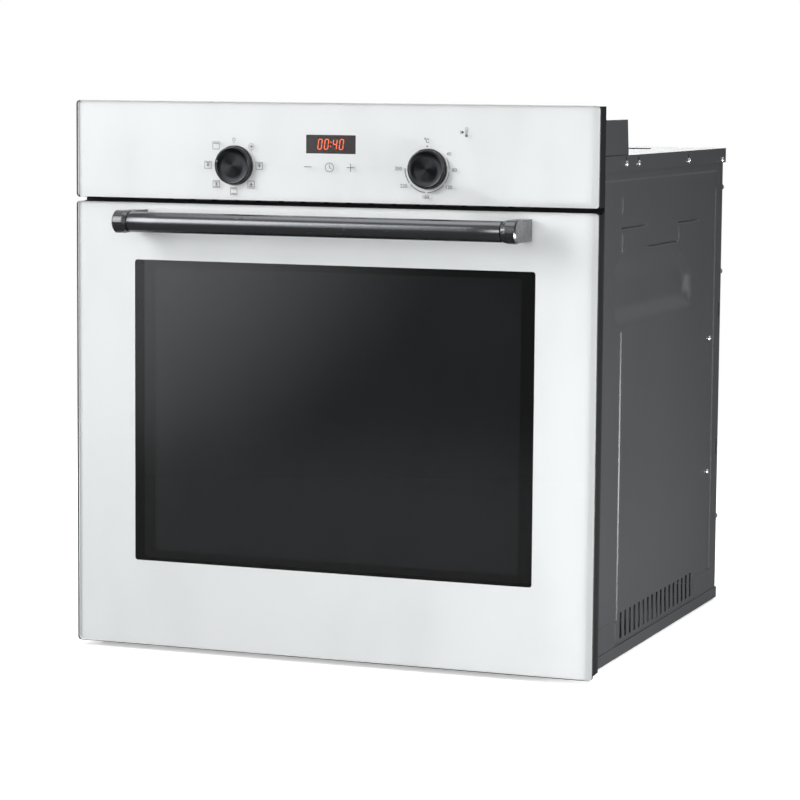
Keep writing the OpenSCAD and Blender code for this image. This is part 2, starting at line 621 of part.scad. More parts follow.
// coil spring from z0 to z1: rings of a swept wire
function coil_pt(t, n, z0, z1, r) = [r * cos(360 * n * t), r * sin(360 * n * t), z0 + (z1 - z0) * t];
module coil(n, seg, z0, z1, r, w) {
  tot = n * seg;
  sides = 6;
  pts = [for (i = [0 : tot]) let (t = i / tot, p = coil_pt(t, n, z0, z1, r), a = 360 * n * t)
    for (k = [0 : sides - 1]) let (b = 360 * k / sides)
      [p[0] + w * cos(b) * cos(a), p[1] + w * cos(b) * sin(a), p[2] + w * sin(b)]];
  faces = concat(
    [[for (k = [0 : sides - 1]) k]],
    [for (i = [0 : tot - 1], k = [0 : sides - 1])
      [i * sides + k, (i + 1) * sides + k, (i + 1) * sides + (k + 1) % sides, i * sides + (k + 1) % sides]],
    [[for (k = [sides - 1 : -1 : 0]) tot * sides + k]]);
  polyhedron(points = pts, faces = faces, convexity = 10);
}
module hinge_springs() color([0.50, 0.51, 0.53]) both()
  translate([hx, -8, 0]) coil(11, 10, 62.9, 151.1, 3.5, 0.6);

// ---------- fasteners of the casing ----------
module screw_x(y, z, x) { rodx(x - 7, x, y, z, 1.6); rodx(x, x + 1.6, y, z, 3.3); }
module casing_screws() color([0.80, 0.80, 0.82]) {
  both() {
    for (p = [[128, 535.5], [175, 535], [378, 533], [529, 531]]) screw_x(p[0], p[1], bw + sh);
    for (p = [[488, 320], [489, 160]]) screw_x(p[0], p[1], bw);
    for (z = [100, 397, 498]) {
      rody(body_d - 6, body_d, 270, z, 1.6);
      rody(body_d, body_d + 1.6, 270, z, 3.3);
    }
  }
}

front_frame();
side_panel_left();
side_panel_right();
top_cover();
rear_cover();
base_tray();
control_housing();
oven_cavity();
cavity_insulation();
door_gasket();
control_panel_glass();
control_panel_print();
control_panel_frame();
display_module();
indicator_lens();
control_bracket();
function_selector();
thermostat();
thermostat_sensor();
rack_support_left();
rack_support_right();
fan_baffle();
ring_element();
grill_element();
bottom_element();
fan_motor();
lamp_socket();
lamp_bulb();
lamp_lens();
cooling_fan_housing();
cooling_fan_motor();
air_duct();
terminal_block();
terminal_cover();
hinge_arms();
hinge_receivers();
casing_screws();
function_shaft();
function_knob();
thermostat_shaft();
temperature_knob();
convection_fan();
cooling_rotor();
wire_shelf();
baking_tray();
door_outer_glass();
door_glass_print();
door_columns();
door_top_trim();
door_bottom_trim();
door_middle_glass();
door_inner_glass();
handle_bar();
handle_brackets();
handle_screws();
hinge_cases();
hinge_pins();
hinge_rods();
hinge_springs();
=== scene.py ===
import json
import math

import bmesh
import bpy
from mathutils import Matrix, Vector

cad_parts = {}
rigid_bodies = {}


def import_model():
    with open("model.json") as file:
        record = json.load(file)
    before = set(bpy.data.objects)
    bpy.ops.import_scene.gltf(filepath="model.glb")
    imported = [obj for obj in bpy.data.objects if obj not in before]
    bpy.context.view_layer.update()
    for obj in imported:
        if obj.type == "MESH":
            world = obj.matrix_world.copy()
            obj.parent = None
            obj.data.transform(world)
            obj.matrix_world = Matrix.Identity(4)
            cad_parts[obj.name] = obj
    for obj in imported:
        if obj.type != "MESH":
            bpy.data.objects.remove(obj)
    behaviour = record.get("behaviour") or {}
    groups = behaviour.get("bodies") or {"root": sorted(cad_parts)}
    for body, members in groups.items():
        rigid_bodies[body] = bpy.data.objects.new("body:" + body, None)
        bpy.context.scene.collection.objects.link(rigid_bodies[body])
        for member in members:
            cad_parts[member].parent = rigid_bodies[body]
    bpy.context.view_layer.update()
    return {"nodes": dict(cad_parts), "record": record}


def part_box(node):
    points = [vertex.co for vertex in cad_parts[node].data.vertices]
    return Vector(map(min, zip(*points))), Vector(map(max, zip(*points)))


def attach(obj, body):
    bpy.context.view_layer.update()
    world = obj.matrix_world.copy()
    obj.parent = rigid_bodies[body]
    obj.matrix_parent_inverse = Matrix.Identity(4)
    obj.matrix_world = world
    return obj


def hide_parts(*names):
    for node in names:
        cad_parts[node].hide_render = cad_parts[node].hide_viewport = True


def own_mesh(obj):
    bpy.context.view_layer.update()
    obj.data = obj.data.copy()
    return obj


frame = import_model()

NODES = frame["nodes"]
BODY_OF = {n: b for b, ns in frame["record"]["behaviour"]["bodies"].items() for n in ns}
SLOT_OF = {s["node"]: s["material_slot"] for s in frame["record"]["subparts"]}
MM = 0.001
scene = bpy.context.scene
scene.view_settings.view_transform = "Standard"


# ---------------------------------------------------------------- camera
def make_camera():
    yaw, pitch, roll = (math.radians(a) for a in (20.821, -6.170, 0.469))
    f = Vector((-math.sin(yaw) * math.cos(pitch), math.cos(yaw) * math.cos(pitch), math.sin(pitch)))
    r = Vector((math.cos(yaw), math.sin(yaw), 0))
    u = r.cross(f)
    r, u = math.cos(roll) * r + math.sin(roll) * u, -math.sin(roll) * r + math.cos(roll) * u
    c = (1.1882, -2.9329, 0.6238)
    data = bpy.data.cameras.new("camera")
    data.sensor_width, data.lens = 36, 2971.9 / 800 * 36
    data.clip_start, data.clip_end = 0.05, 400
    cam = bpy.data.objects.new("camera", data)
    scene.collection.objects.link(cam)
    cam.matrix_world = Matrix(((r.x, u.x, -f.x, c[0]), (r.y, u.y, -f.y, c[1]), (r.z, u.z, -f.z, c[2]), (0, 0, 0, 1)))
    scene.camera = cam


make_camera()


# ---------------------------------------------------------------- node helpers
class Mat:
    """A material under construction: n() adds a node, and the rest are short cuts."""

    def __init__(self, name):
        self.m = bpy.data.materials.new(name)
        self.m.use_nodes = True
        self.t = self.m.node_tree
        self.t.nodes.clear()
        self.out = self.t.nodes.new("ShaderNodeOutputMaterial")
        self.obj = self.n("TexCoord").outputs["Object"]

    def n(self, kind, ins=None, **props):
        nd = self.t.nodes.new("ShaderNode" + kind)
        for k, v in props.items():
            setattr(nd, k, v)
        for k, v in (ins or {}).items():
            self.put(nd.inputs[k], v)
        return nd

    def put(self, sock, v):
        if isinstance(v, bpy.types.NodeSocket):
            self.t.links.new(v, sock)
        elif isinstance(v, tuple) and len(v) == 3 and sock.type == "RGBA":
            sock.default_value = (*v, 1)
        else:
            sock.default_value = v

    def vec(self, scale=(1, 1, 1), rot=(0, 0, 0), loc=(0, 0, 0)):
        return self.n("Mapping", {"Vector": self.obj, "Scale": scale, "Rotation": rot, "Location": loc}).outputs[0]

    def noise(self, scale, detail=2.0, rough=0.5, vec=None):
        return self.n("TexNoise", {"Vector": vec or self.obj, "Scale": float(scale), "Detail": float(detail), "Roughness": rough}).outputs[0]

    def voronoi(self, scale, feature="F1", out=0, vec=None):
        return self.n("TexVoronoi", {"Vector": vec or self.obj, "Scale": float(scale)}, feature=feature).outputs[out]

    def remap(self, x, a, b, c, d, smooth=False):
        return self.n("MapRange", {"Value": x, "From Min": a, "From Max": b, "To Min": c, "To Max": d},
                      interpolation_type="SMOOTHSTEP" if smooth else "LINEAR").outputs[0]

    def math(self, op, a, b=0.0, c=0.0):
        nd = self.n("Math", operation=op)
        for i, v in enumerate((a, b, c)):
            self.put(nd.inputs[i], v)
        return nd.outputs[0]

    def mixc(self, fac, a, b):
        nd = self.n("Mix", data_type="RGBA")
        self.put(nd.inputs[0], fac)
        self.put(nd.inputs[6], a)
        self.put(nd.inputs[7], b)
        return nd.outputs[2]

    def bump(self, height, dist, strength=1.0, normal=None):
        ins = {"Height": height, "Distance": dist, "Strength": strength}
        if normal is not None:
            ins["Normal"] = normal
        return self.n("Bump", ins).outputs[0]

    def axis(self, i):
        return self.n("SeparateXYZ", {"Vector": self.obj}).outputs[i]

    def normal_axis(self, i):
        """Size of the true normal's component along the object's axis i."""
        g = self.n("NewGeometry").outputs["True Normal"]
        v = self.n("VectorTransform", {"Vector": g}, vector_type="NORMAL", convert_from="WORLD", convert_to="OBJECT").outputs[0]
        return self.math("ABSOLUTE", self.n("SeparateXYZ", {"Vector": v}).outputs[i])

    def schlick(self, f0):
        """Reflection of a glass face from either side; a ray that passes straight through thin glass is never wholly reflected inside it."""
        facing = self.n("LayerWeight", {"Blend": 0.5}).outputs["Facing"]
        return self.math("MULTIPLY_ADD", self.math("POWER", facing, 5.0), 1.0 - f0, f0)

    def bsdf(self, **ins):
        return self.n("BsdfPrincipled", {k.replace("_", " "): v for k, v in ins.items()}).outputs[0]

    def done(self, shader):
        self.t.links.new(shader, self.out.inputs["Surface"])
        return self.m


def painted(name, lo, hi, rough, metallic=0.0, peel=0.000018, cloud=5.0, spec=0.5, coat=0.0, grain=1500):
    m = Mat(name)
    big = m.noise(cloud, 3, 0.55)
    fine = m.noise(grain, 2, 0.5)
    col = m.mixc(m.remap(big, 0.3, 0.7, 0, 1), lo, hi)
    scuff = m.noise(60, 4, 0.7, m.vec((1, 1, 0.12)))
    col = m.mixc(m.remap(scuff, 0.66, 0.85, 0, 0.10), col, tuple(min(1, c * 1.5 + 0.006) for c in hi))
    rg = m.math("ADD", m.remap(m.noise(9, 2), 0.3, 0.7, rough - 0.015, rough + 0.02), m.remap(fine, 0, 1, -0.02, 0.02))
    return m.done(m.bsdf(Base_Color=col, Roughness=rg, Metallic=metallic, Specular_IOR_Level=spec,
                         Coat_Weight=coat, Normal=m.bump(fine, peel)))


def brushed(name, lo, hi, rough, along, metallic=1.0, depth=0.000012):
    """Metal with fine streaks along one axis."""
    m = Mat(name)
    sc = [900.0, 900.0, 900.0]
    sc[along] = 9.0
    streak = m.noise(1, 3, 0.6, m.vec(tuple(sc)))
    col = m.mixc(m.remap(streak, 0.2, 0.8, 0, 1), lo, hi)
    smudge = m.noise(35, 3, 0.6)
    rg = m.math("ADD", m.remap(streak, 0.2, 0.8, rough - 0.02, rough + 0.03), m.remap(smudge, 0.45, 0.8, 0, 0.03))
    return m.done(m.bsdf(Base_Color=col, Roughness=rg, Metallic=metallic, Normal=m.bump(streak, depth)))


def thin_glass(name, tint, edge, window=None, frit=(0.006, 0.006, 0.007), haze=0.02, dark=None):
    """Sheet glass: clear or tinted with its reflection, and its ground edges. window is the clear area in x and z of a sheet that is printed black round it."""
    m = Mat(name)
    smear = m.noise(14, 4, 0.65, m.vec((1, 1, 0.35)))
    fres = m.schlick(0.028)
    gloss = m.n("BsdfGlossy", {"Color": (1, 1, 1), "Roughness": m.remap(smear, 0.35, 0.8, 0.004, haze)}).outputs[0]
    clear = m.n("BsdfTransparent", {"Color": m.mixc(m.remap(smear, 0.5, 0.9, 0, 1), tint, tuple(c * 0.97 for c in tint))}).outputs[0]
    sheet = m.n("MixShader", {0: fres, 1: clear, 2: gloss}).outputs[0]
    if dark:
        coat = m.bsdf(Base_Color=m.mixc(m.remap(smear, 0.3, 0.8, 0, 1), dark, tuple(c * 1.5 for c in dark)), Roughness=m.remap(smear, 0.3, 0.8, 0.06, 0.09), Specular_IOR_Level=0.5)
        sheet = m.n("MixShader", {0: 0.88, 1: sheet, 2: coat}).outputs[0]
    if window:
        ax, az, x, z0, z1 = m.math("ABSOLUTE", m.axis(0)), m.axis(2), *window
        inside = m.math("MULTIPLY", m.remap(ax, x - 0.0004, x + 0.0004, 1, 0), m.math("MULTIPLY", m.remap(az, z0 - 0.0004, z0 + 0.0004, 0, 1), m.remap(az, z1 - 0.0004, z1 + 0.0004, 1, 0)))
        ink = m.bsdf(Base_Color=m.mixc(m.noise(400, 2), frit, tuple(c * 1.6 for c in frit)), Roughness=m.remap(smear, 0.3, 0.8, 0.06, 0.09), Specular_IOR_Level=0.42)
        sheet = m.n("MixShader", {0: inside, 1: ink, 2: sheet}).outputs[0]
    ground = m.noise(1800, 2)
    rim = m.bsdf(Base_Color=m.mixc(ground, edge, tuple(c * 1.5 + 0.004 for c in edge)), Roughness=m.remap(ground, 0.2, 0.8, 0.12, 0.3), Normal=m.bump(ground, 0.00001))
    face = m.remap(m.normal_axis(1), 0.75, 0.8, 0, 1)
    return m.done(m.n("MixShader", {0: face, 1: rim, 2: sheet}).outputs[0])


# ---------------------------------------------------------------- materials
M = {}
M["casing"] = painted("casing_steel", (0.0275, 0.0287, 0.0306), (0.0315, 0.033, 0.035), 0.36, metallic=0.2, spec=0.20, cloud=2.0, peel=0.000008)
# a far darker copy of the casing paint, for the front frame: painted shade for the frame's strip in the gap between the
# door and the side wall
M["casing_dark"] = painted("casing_dark", (0.0045, 0.0048, 0.005), (0.0075, 0.008, 0.0085), 0.44, metallic=0.1, cloud=6, spec=0.16)
M["white"] = painted("white_print", (0.86, 0.862, 0.866), (0.885, 0.887, 0.889), 0.30, peel=0.000004, cloud=2.0, grain=700)
M["black_plastic"] = painted("black_plastic", (0.0022, 0.0022, 0.0024), (0.004, 0.004, 0.0043), 0.46, spec=0.14, peel=0.00003, cloud=40, grain=1300)
M["knob_body"] = painted("knob_body", (0.006, 0.006, 0.007), (0.012, 0.012, 0.013), 0.22, peel=0.000008, cloud=60, grain=2200, coat=0.3)


def _galvanised():
    m = Mat("galvanised")
    cell = m.n("TexVoronoi", {"Vector": m.obj, "Scale": 75.0}, feature="F1").outputs["Color"]
    g = m.n("SeparateColor", {0: cell}).outputs[0]
    fr = m.noise(420, 3, 0.6)
    col = m.mixc(m.remap(g, 0, 1, 0, 1), (0.36, 0.37, 0.385), (0.56, 0.57, 0.585))
    col = m.mixc(m.remap(fr, 0.55, 0.8, 0, 0.4), col, (0.66, 0.67, 0.68))
    return m.done(m.bsdf(Base_Color=col, Metallic=0.9, Roughness=m.math("ADD", m.remap(g, 0, 1, 0.30, 0.46), m.remap(fr, 0, 1, -0.03, 0.05)), Normal=m.bump(m.math("ADD", g, fr), 0.000012)))


def _enamel(name, base, fleck, rough):
    m = Mat(name)
    sp = m.noise(1100, 2, 0.5)
    sp2 = m.noise(520, 2, 0.5, m.vec(loc=(3, 1, 2)))
    col = m.mixc(m.remap(m.noise(7, 3), 0.3, 0.7, 0, 1), base, tuple(c * 1.5 for c in base))
    col = m.mixc(m.remap(sp, 0.66, 0.72, 0, 0.9), col, fleck)
    col = m.mixc(m.remap(sp2, 0.70, 0.74, 0, 0.6), col, tuple(c * 0.8 for c in fleck))
    peel = m.noise(170, 2)
    return m.done(m.bsdf(Base_Color=col, Roughness=m.remap(peel, 0.2, 0.8, rough, rough + 0.1), Normal=m.bump(peel, 0.00006)))


def _wool():
    m = Mat("mineral_wool")
    a = m.noise(1, 5, 0.7, m.vec((90, 700, 500)))
    b = m.noise(1, 5, 0.7, m.vec((600, 90, 120), rot=(0.4, 0.2, 0.5)))
    col = m.mixc(m.remap(a, 0.3, 0.7, 0, 1), (0.50, 0.42, 0.22), (0.78, 0.70, 0.45))
    col = m.mixc(m.remap(b, 0.55, 0.8, 0, 0.6), col, (0.88, 0.83, 0.66))
    return m.done(m.bsdf(Base_Color=col, Roughness=0.95, Sheen_Weight=0.2, Normal=m.bump(m.math("ADD", a, b), 0.0008)))


def _braid():
    m = Mat("braided_seal")
    w1 = m.n("TexWave", {"Vector": m.vec(rot=(0, math.radians(45), 0)), "Scale": 260.0, "Distortion": 0.6, "Detail": 1.0}, wave_type="BANDS", bands_direction="X").outputs[1]
    w2 = m.n("TexWave", {"Vector": m.vec(rot=(0, math.radians(-45), 0)), "Scale": 260.0, "Distortion": 0.6, "Detail": 1.0}, wave_type="BANDS", bands_direction="X").outputs[1]
    h = m.math("MAXIMUM", w1, w2)
    # the weave is lighter on its high strands and darker where it lies low: painted shade between the strands
    col = m.mixc(h, (0.03, 0.03, 0.03), (0.19, 0.185, 0.175))
    return m.done(m.bsdf(Base_Color=col, Roughness=m.remap(h, 0, 1, 0.9, 0.65), Normal=m.bump(h, 0.0004)))


def _display():
    m = Mat("display_window")
    a = m.noise(30, 3)
    col = m.mixc(m.remap(a, 0.3, 0.7, 0, 1), (0.012, 0.004, 0.004), (0.022, 0.007, 0.006))
    return m.done(m.bsdf(Base_Color=col, Roughness=m.remap(a, 0.3, 0.7, 0.10, 0.18)))


def _glow(name, col, strength):
    m = Mat(name)
    a = m.noise(900, 2)
    c = m.mixc(m.remap(a, 0.3, 0.7, 0, 1), col, tuple(min(1.0, v * 1.12 + 0.004) for v in col))
    return m.done(m.bsdf(Base_Color=c, Roughness=0.4, Emission_Color=c, Emission_Strength=strength))


def _ink(name, lo, hi):
    m = Mat(name)
    a = m.noise(1600, 3, 0.6)
    return m.done(m.bsdf(Base_Color=m.mixc(m.remap(a, 0.3, 0.7, 0, 1), lo, hi), Roughness=m.remap(a, 0.2, 0.8, 0.35, 0.55)))


def _phenolic(name, lo, hi):
    m = Mat(name)
    a, b = m.noise(260, 4, 0.7), m.noise(25, 3)
    col = m.mixc(m.remap(a, 0.35, 0.7, 0, 1), lo, hi)
    return m.done(m.bsdf(Base_Color=col, Roughness=m.remap(b, 0.3, 0.7, 0.38, 0.55), Normal=m.bump(a, 0.00004)))


def _chrome(name, col, rough, wave=120.0):
    m = Mat(name)
    a, b = m.noise(wave, 3, 0.6), m.noise(14, 3)
    c = m.mixc(m.remap(b, 0.35, 0.75, 0, 1), col, tuple(v * 0.82 for v in col))
    return m.done(m.bsdf(Base_Color=c, Metallic=1.0, Roughness=m.remap(a, 0.2, 0.8, rough, rough + 0.12), Normal=m.bump(a, 0.00002)))


def _sheath():
    m = Mat("element_sheath")
    a, b = m.noise(90, 4, 0.65), m.noise(1200, 2)
    col = m.mixc(m.remap(a, 0.3, 0.7, 0, 1), (0.055, 0.048, 0.043), (0.13, 0.105, 0.085))
    return m.done(m.bsdf(Base_Color=col, Metallic=0.75, Roughness=m.remap(a, 0.3, 0.7, 0.42, 0.62), Normal=m.bump(b, 0.00003)))


def _ceramic():
    m = Mat("lamp_ceramic")
    a, b = m.noise(45, 3), m.noise(900, 2)
    col = m.mixc(m.remap(a, 0.3, 0.7, 0, 1), (0.74, 0.72, 0.67), (0.84, 0.83, 0.79))
    return m.done(m.bsdf(Base_Color=col, Roughness=m.remap(a, 0.3, 0.7, 0.25, 0.4), Normal=m.bump(b, 0.00002)))


def _lamp_glass():
    m = Mat("lamp_glass")
    a = m.noise(120, 3)
    fres = m.schlick(0.04)
    gl = m.n("BsdfGlossy", {"Color": (1, 1, 1), "Roughness": m.remap(a, 0.3, 0.7, 0.02, 0.1)}).outputs[0]
    tr = m.n("BsdfTransparent", {"Color": m.mixc(a, (0.80, 0.83, 0.82), (0.90, 0.92, 0.91))}).outputs[0]
    dif = m.bsdf(Base_Color=(0.75, 0.77, 0.75), Roughness=0.3)
    body = m.n("MixShader", {0: 0.35, 1: tr, 2: dif}).outputs[0]
    return m.done(m.n("MixShader", {0: fres, 1: body, 2: gl}).outputs[0])


def _spun(name, lo, hi):
    """Turned metal: rings round the object's own Y axis."""
    m = Mat(name)
    s = m.n("SeparateXYZ", {"Vector": m.obj})
    r = m.math("SQRT", m.math("ADD", m.math("POWER", s.outputs[0], 2.0), m.math("POWER", s.outputs[2], 2.0)))
    ring = m.n("TexNoise", {"W": m.math("MULTIPLY", r, 5200.0), "Scale": 1.0, "Detail": 2.0}, noise_dimensions="1D").outputs[0]
    tan = m.n("Tangent", direction_type="RADIAL", axis="Y").outputs[0]
    col = m.mixc(ring, lo, hi)
    return m.done(m.bsdf(Base_Color=col, Metallic=1.0, Roughness=m.remap(ring, 0.2, 0.8, 0.24, 0.34), Anisotropic=0.85, Tangent=tan, Normal=m.bump(ring, 0.000006)))


M["galvanised"] = _galvanised()
M["enamel"] = _enamel("cavity_enamel", (0.012, 0.012, 0.015), (0.10, 0.105, 0.12), 0.10)
M["wool"] = _wool()
M["braid"] = _braid()
M["display"] = _display()
M["digits"] = _glow("display_digits", (1.0, 0.13, 0.025), 0.7)
# segments that are off glow faintly: a painted glow, as an unlit segment is no lamp
M["ghost"] = _glow("display_unlit", (0.045, 0.009, 0.006), 0.25)
M["ink"] = _ink("icon_print", (0.11, 0.11, 0.115), (0.16, 0.16, 0.165))
M["ink_dark"] = _ink("mark_print", (0.05, 0.05, 0.052), (0.08, 0.08, 0.083))
M["lens"] = _phenolic("indicator_lens", (0.012, 0.006, 0.005), (0.022, 0.010, 0.008))
M["phenolic"] = _phenolic("phenolic", (0.42, 0.35, 0.22), (0.56, 0.49, 0.34))
M["chrome"] = _chrome("chrome_wire", (0.76, 0.77, 0.79), 0.10)
M["screw"] = _chrome("screw_zinc", (0.72, 0.73, 0.75), 0.22, 500)
M["motor"] = _chrome("motor_steel", (0.42, 0.43, 0.45), 0.30, 300)
M["spring"] = _chrome("spring_steel", (0.40, 0.41, 0.43), 0.26, 400)
M["sheath"] = _sheath()
M["ceramic"] = _ceramic()
M["lamp_glass"] = _lamp_glass()
M["alu"] = brushed("fan_aluminium", (0.55, 0.56, 0.58), (0.74, 0.75, 0.77), 0.32, 0)
M["bar"] = brushed("handle_bar_metal", (0.120, 0.123, 0.130), (0.150, 0.154, 0.161), 0.24, 0, depth=0.000002)
M["bracket"] = brushed("handle_end_metal", (0.105, 0.107, 0.112), (0.132, 0.135, 0.140), 0.26, 0, depth=0.000002)
M["spun"] = _spun("spun_face", (0.018, 0.0195, 0.021), (0.034, 0.036, 0.039))
M["glass"] = thin_glass("clear_glass", (0.985, 0.99, 0.99), (0.012, 0.014, 0.014))
M["mid_glass"] = thin_glass("tinted_glass", (0.30, 0.315, 0.32), (0.05, 0.08, 0.075), window=(0.2098, 0.1069, 0.4178), dark=(0.0085, 0.009, 0.0098), frit=(0.0012, 0.0012, 0.0013))
M["in_glass"] = thin_glass("inner_glass", (0.72, 0.76, 0.75), (0.05, 0.09, 0.08), window=(0.232, 0.062, 0.452))

BY_SLOT = {"casing_paint": "casing", "galvanised": "galvanised", "cavity_enamel": "enamel", "mineral_wool": "wool", "seal_rubber": "braid",
           "clear_glass": "glass", "white_print": "white", "black_plastic": "black_plastic", "display_plastic": "display",
           "indicator_plastic": "lens", "phenolic": "phenolic", "knob_black": "knob_body", "chrome_wire": "chrome",
           "element_sheath": "sheath", "motor_steel": "motor", "lamp_ceramic": "ceramic", "lamp_glass": "lamp_glass",
           "dark_glass": "mid_glass", "bar_metal": "bar", "fan_aluminium": "alu", "spring_steel": "spring"}
# the front frame takes the darker copy of the casing paint, which is painted shade
BY_NODE = {"door_inner_glass": "in_glass", "handle_brackets": "bracket", "front_frame": "casing_dark", "handle_screws": "screw",
           "casing_screws": "screw"}


def material_for(node):
    return M[BY_NODE.get(node) or BY_SLOT[SLOT_OF[node]]]


for name, o in NODES.items():
    o.data.materials.clear()
    o.data.materials.append(material_for(name))


# ---------------------------------------------------------------- mesh helpers
def piece(name, bm, mats, body, replaces=(), smooth=None, at=(0, 0, 0), weighted=False):
    """A new piece from a bmesh drawn round the point at; smooth is the angle in degrees under which edges shade smooth."""
    bmesh.ops.recalc_face_normals(bm, faces=bm.faces)
    if smooth is not None:
        lim = math.radians(smooth)
        for f in bm.faces:
            f.smooth = True
        for e in bm.edges:
            e.smooth = not (len(e.link_faces) == 2 and e.calc_face_angle(0) > lim)
    me = bpy.data.meshes.new(name)
    bm.to_mesh(me)
    bm.free()
    for m in mats:
        me.materials.append(m)
    o = bpy.data.objects.new(name, me)
    scene.collection.objects.link(o)
    o.location = at
    if weighted:
        w = o.modifiers.new("face_weight", "WEIGHTED_NORMAL")
        w.mode, w.weight, w.keep_sharp, w.thresh = "FACE_AREA", 100, True, 0.0
    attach(o, body)
    if replaces:
        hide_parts(*replaces)
    return o


def prism(bm, pts, y0, y1, mat=0):
    """A plate from an outline of x and z in millimetres, from y0 (front) to y1."""
    f = [bm.verts.new((x * MM, y0 * MM, z * MM)) for x, z in pts]
    b = [bm.verts.new((x * MM, y1 * MM, z * MM)) for x, z in pts]
    faces = [bm.faces.new(f), bm.faces.new(b[::-1])]
    for i in range(len(pts)):
        j = (i + 1) % len(pts)
        faces.append(bm.faces.new((f[j], f[i], b[i], b[j])))
    for x in faces:
        x.material_index = mat


def line(bm, pts, w, y0, y1, closed=False, mat=0):
    """A line of width w along the points, with mitred corners."""
    n = len(pts)
    off = []
    for i, p in enumerate(pts):
        p = Vector(p)
        a = Vector(pts[i - 1]) if (i > 0 or closed) else None
        b = Vector(pts[(i + 1) % n]) if (i < n - 1 or closed) else None
        d1 = (p - a).normalized() if a is not None else (b - p).normalized()
        d2 = (b - p).normalized() if b is not None else d1
        n1, n2 = Vector((-d1.y, d1.x)), Vector((-d2.y, d2.x))
        k = (n1 + n2).normalized()
        off.append(k * (w / 2 / max(0.35, k.dot(n1))))
    for i in range(n if closed else n - 1):
        j = (i + 1) % n
        p, q = Vector(pts[i]), Vector(pts[j])
        prism(bm, [tuple(p + off[i]), tuple(p - off[i]), tuple(q - off[j]), tuple(q + off[j])], y0, y1, mat)


def dot(bm, x, z, r, y0, y1, n=20, mat=0):
    prism(bm, [(x + r * math.cos(2 * math.pi * i / n), z + r * math.sin(2 * math.pi * i / n)) for i in range(n)], y0, y1, mat)


def arc(x, z, r, a0, a1, n=16):
    """Points on an arc; angles in degrees clockwise from the top."""
    return [(x + r * math.sin(math.radians(a0 + (a1 - a0) * i / n)), z + r * math.cos(math.radians(a0 + (a1 - a0) * i / n))) for i in range(n + 1)]


def lathe(bm, profile, n=96, axis="y", closed_ends=True, mats=None):
    """Turns (radius, height) points in millimetres round an axis through the origin. mats gives a material index per ring."""
    rings = []
    for r, h in profile:
        if r < 1e-6:
            rings.append([bm.verts.new(_ax(0, 0, h, axis))])
        else:
            rings.append([bm.verts.new(_ax(r * math.cos(2 * math.pi * i / n), r * math.sin(2 * math.pi * i / n), h, axis)) for i in range(n)])
    for k in range(len(rings) - 1):
        a, b = rings[k], rings[k + 1]
        for i in range(n):
            j = (i + 1) % n
            if len(a) == 1 and len(b) == 1:
                continue
            if len(a) == 1:
                f = bm.faces.new((a[0], b[i], b[j]))
            elif len(b) == 1:
                f = bm.faces.new((a[j], a[i], b[0]))
            else:
                f = bm.faces.new((a[i], b[i], b[j], a[j]))
            f.material_index = mats[k] if mats else 0
    return rings


def _ax(u, v, h, axis):
    u, v, h = u * MM, v * MM, h * MM
    return {"y": (u, h, v), "x": (h, u, v), "z": (u, v, h)}[axis]


def refine(node, width=0.25, seg=2, limit=32, smooth=35, extra=None):
    """A copy of a CAD node with its sharp edges broken, as folded, moulded or ground edges are. It stands for the node."""
    src = NODES[node]
    bm = bmesh.new()
    bm.from_mesh(src.data)
    bmesh.ops.remove_doubles(bm, verts=bm.verts, dist=2e-6)
    bmesh.ops.dissolve_limit(bm, angle_limit=math.radians(0.6), verts=bm.verts, edges=bm.edges)
    sharp = [e for e in bm.edges if len(e.link_faces) == 2 and e.calc_face_angle(0) > math.radians(limit)]
    bmesh.ops.bevel(bm, geom=sharp, offset=width * MM, offset_type="OFFSET", segments=seg, profile=0.5, affect="EDGES", clamp_overlap=True)
    bmesh.ops.remove_doubles(bm, verts=bm.verts, dist=1e-6)
    if extra:
        extra(bm)
    return piece(node + "_finished", bm, [material_for(node)], BODY_OF[node], (node,), smooth, weighted=True)


def sheet_glass(node, corner, holes=(), edge=0.5, mat=None):
    """A glass sheet with round corners, drilled holes and ground edges, in the box of the CAD node it stands for. Its back stops just short of the print behind it."""
    lo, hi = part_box(node)
    w, h, t = (hi.x - lo.x) * 1000, (hi.z - lo.z) * 1000, (hi.y - lo.y) * 1000 - 0.08
    cx, cy, cz = (lo + hi) / 2 * 1000
    cy -= 0.04
    cu = bpy.data.curves.new("t", "CURVE")
    cu.dimensions, cu.fill_mode = "2D", "BOTH"
    cu.extrude, cu.bevel_depth, cu.bevel_resolution, cu.offset = t / 2 - edge, edge, 1, -edge
    a, b = w / 2 - corner, h / 2 - corner
    pts = []
    for sx, sz, q in ((1, 1, 0), (-1, 1, 90), (-1, -1, 180), (1, -1, 270)):
        for i in range(9):
            g = math.radians(q + 90 * i / 8)
            pts.append((sx * a + corner * math.cos(g), sz * b + corner * math.sin(g)))
    loops = [pts] + [[(x + r * math.cos(2 * math.pi * i / 72) - cx, z - r * math.sin(2 * math.pi * i / 72) - cz) for i in range(72)] for x, z, r in holes]
    for lp in loops:
        sp = cu.splines.new("POLY")
        sp.points.add(len(lp) - 1)
        for q, (x, z) in zip(sp.points, lp):
            q.co = (x, z, 0, 1)
        sp.use_cyclic_u = True
    o = bpy.data.objects.new("t", cu)
    scene.collection.objects.link(o)
    me = bpy.data.meshes.new_from_object(o.evaluated_get(bpy.context.evaluated_depsgraph_get()))
    bm = bmesh.new()
    bm.from_mesh(me)
    bpy.data.objects.remove(o)
    bpy.data.curves.remove(cu)
    bpy.data.meshes.remove(me)
    for v in bm.verts:
        x, z, y = v.co
        v.co = ((x + cx) * MM, (cy - y) * MM, (z + cz) * MM)
    bmesh.ops.remove_doubles(bm, verts=bm.verts, dist=1e-6)
    return piece(node + "_sheet", bm, [mat or material_for(node)], BODY_OF[node], (node,), 20)


# ---------------------------------------------------------------- pressed side walls
def s01(x):
    x = min(1.0, max(0.0, x))
    return x * x * (3 - 2 * x)


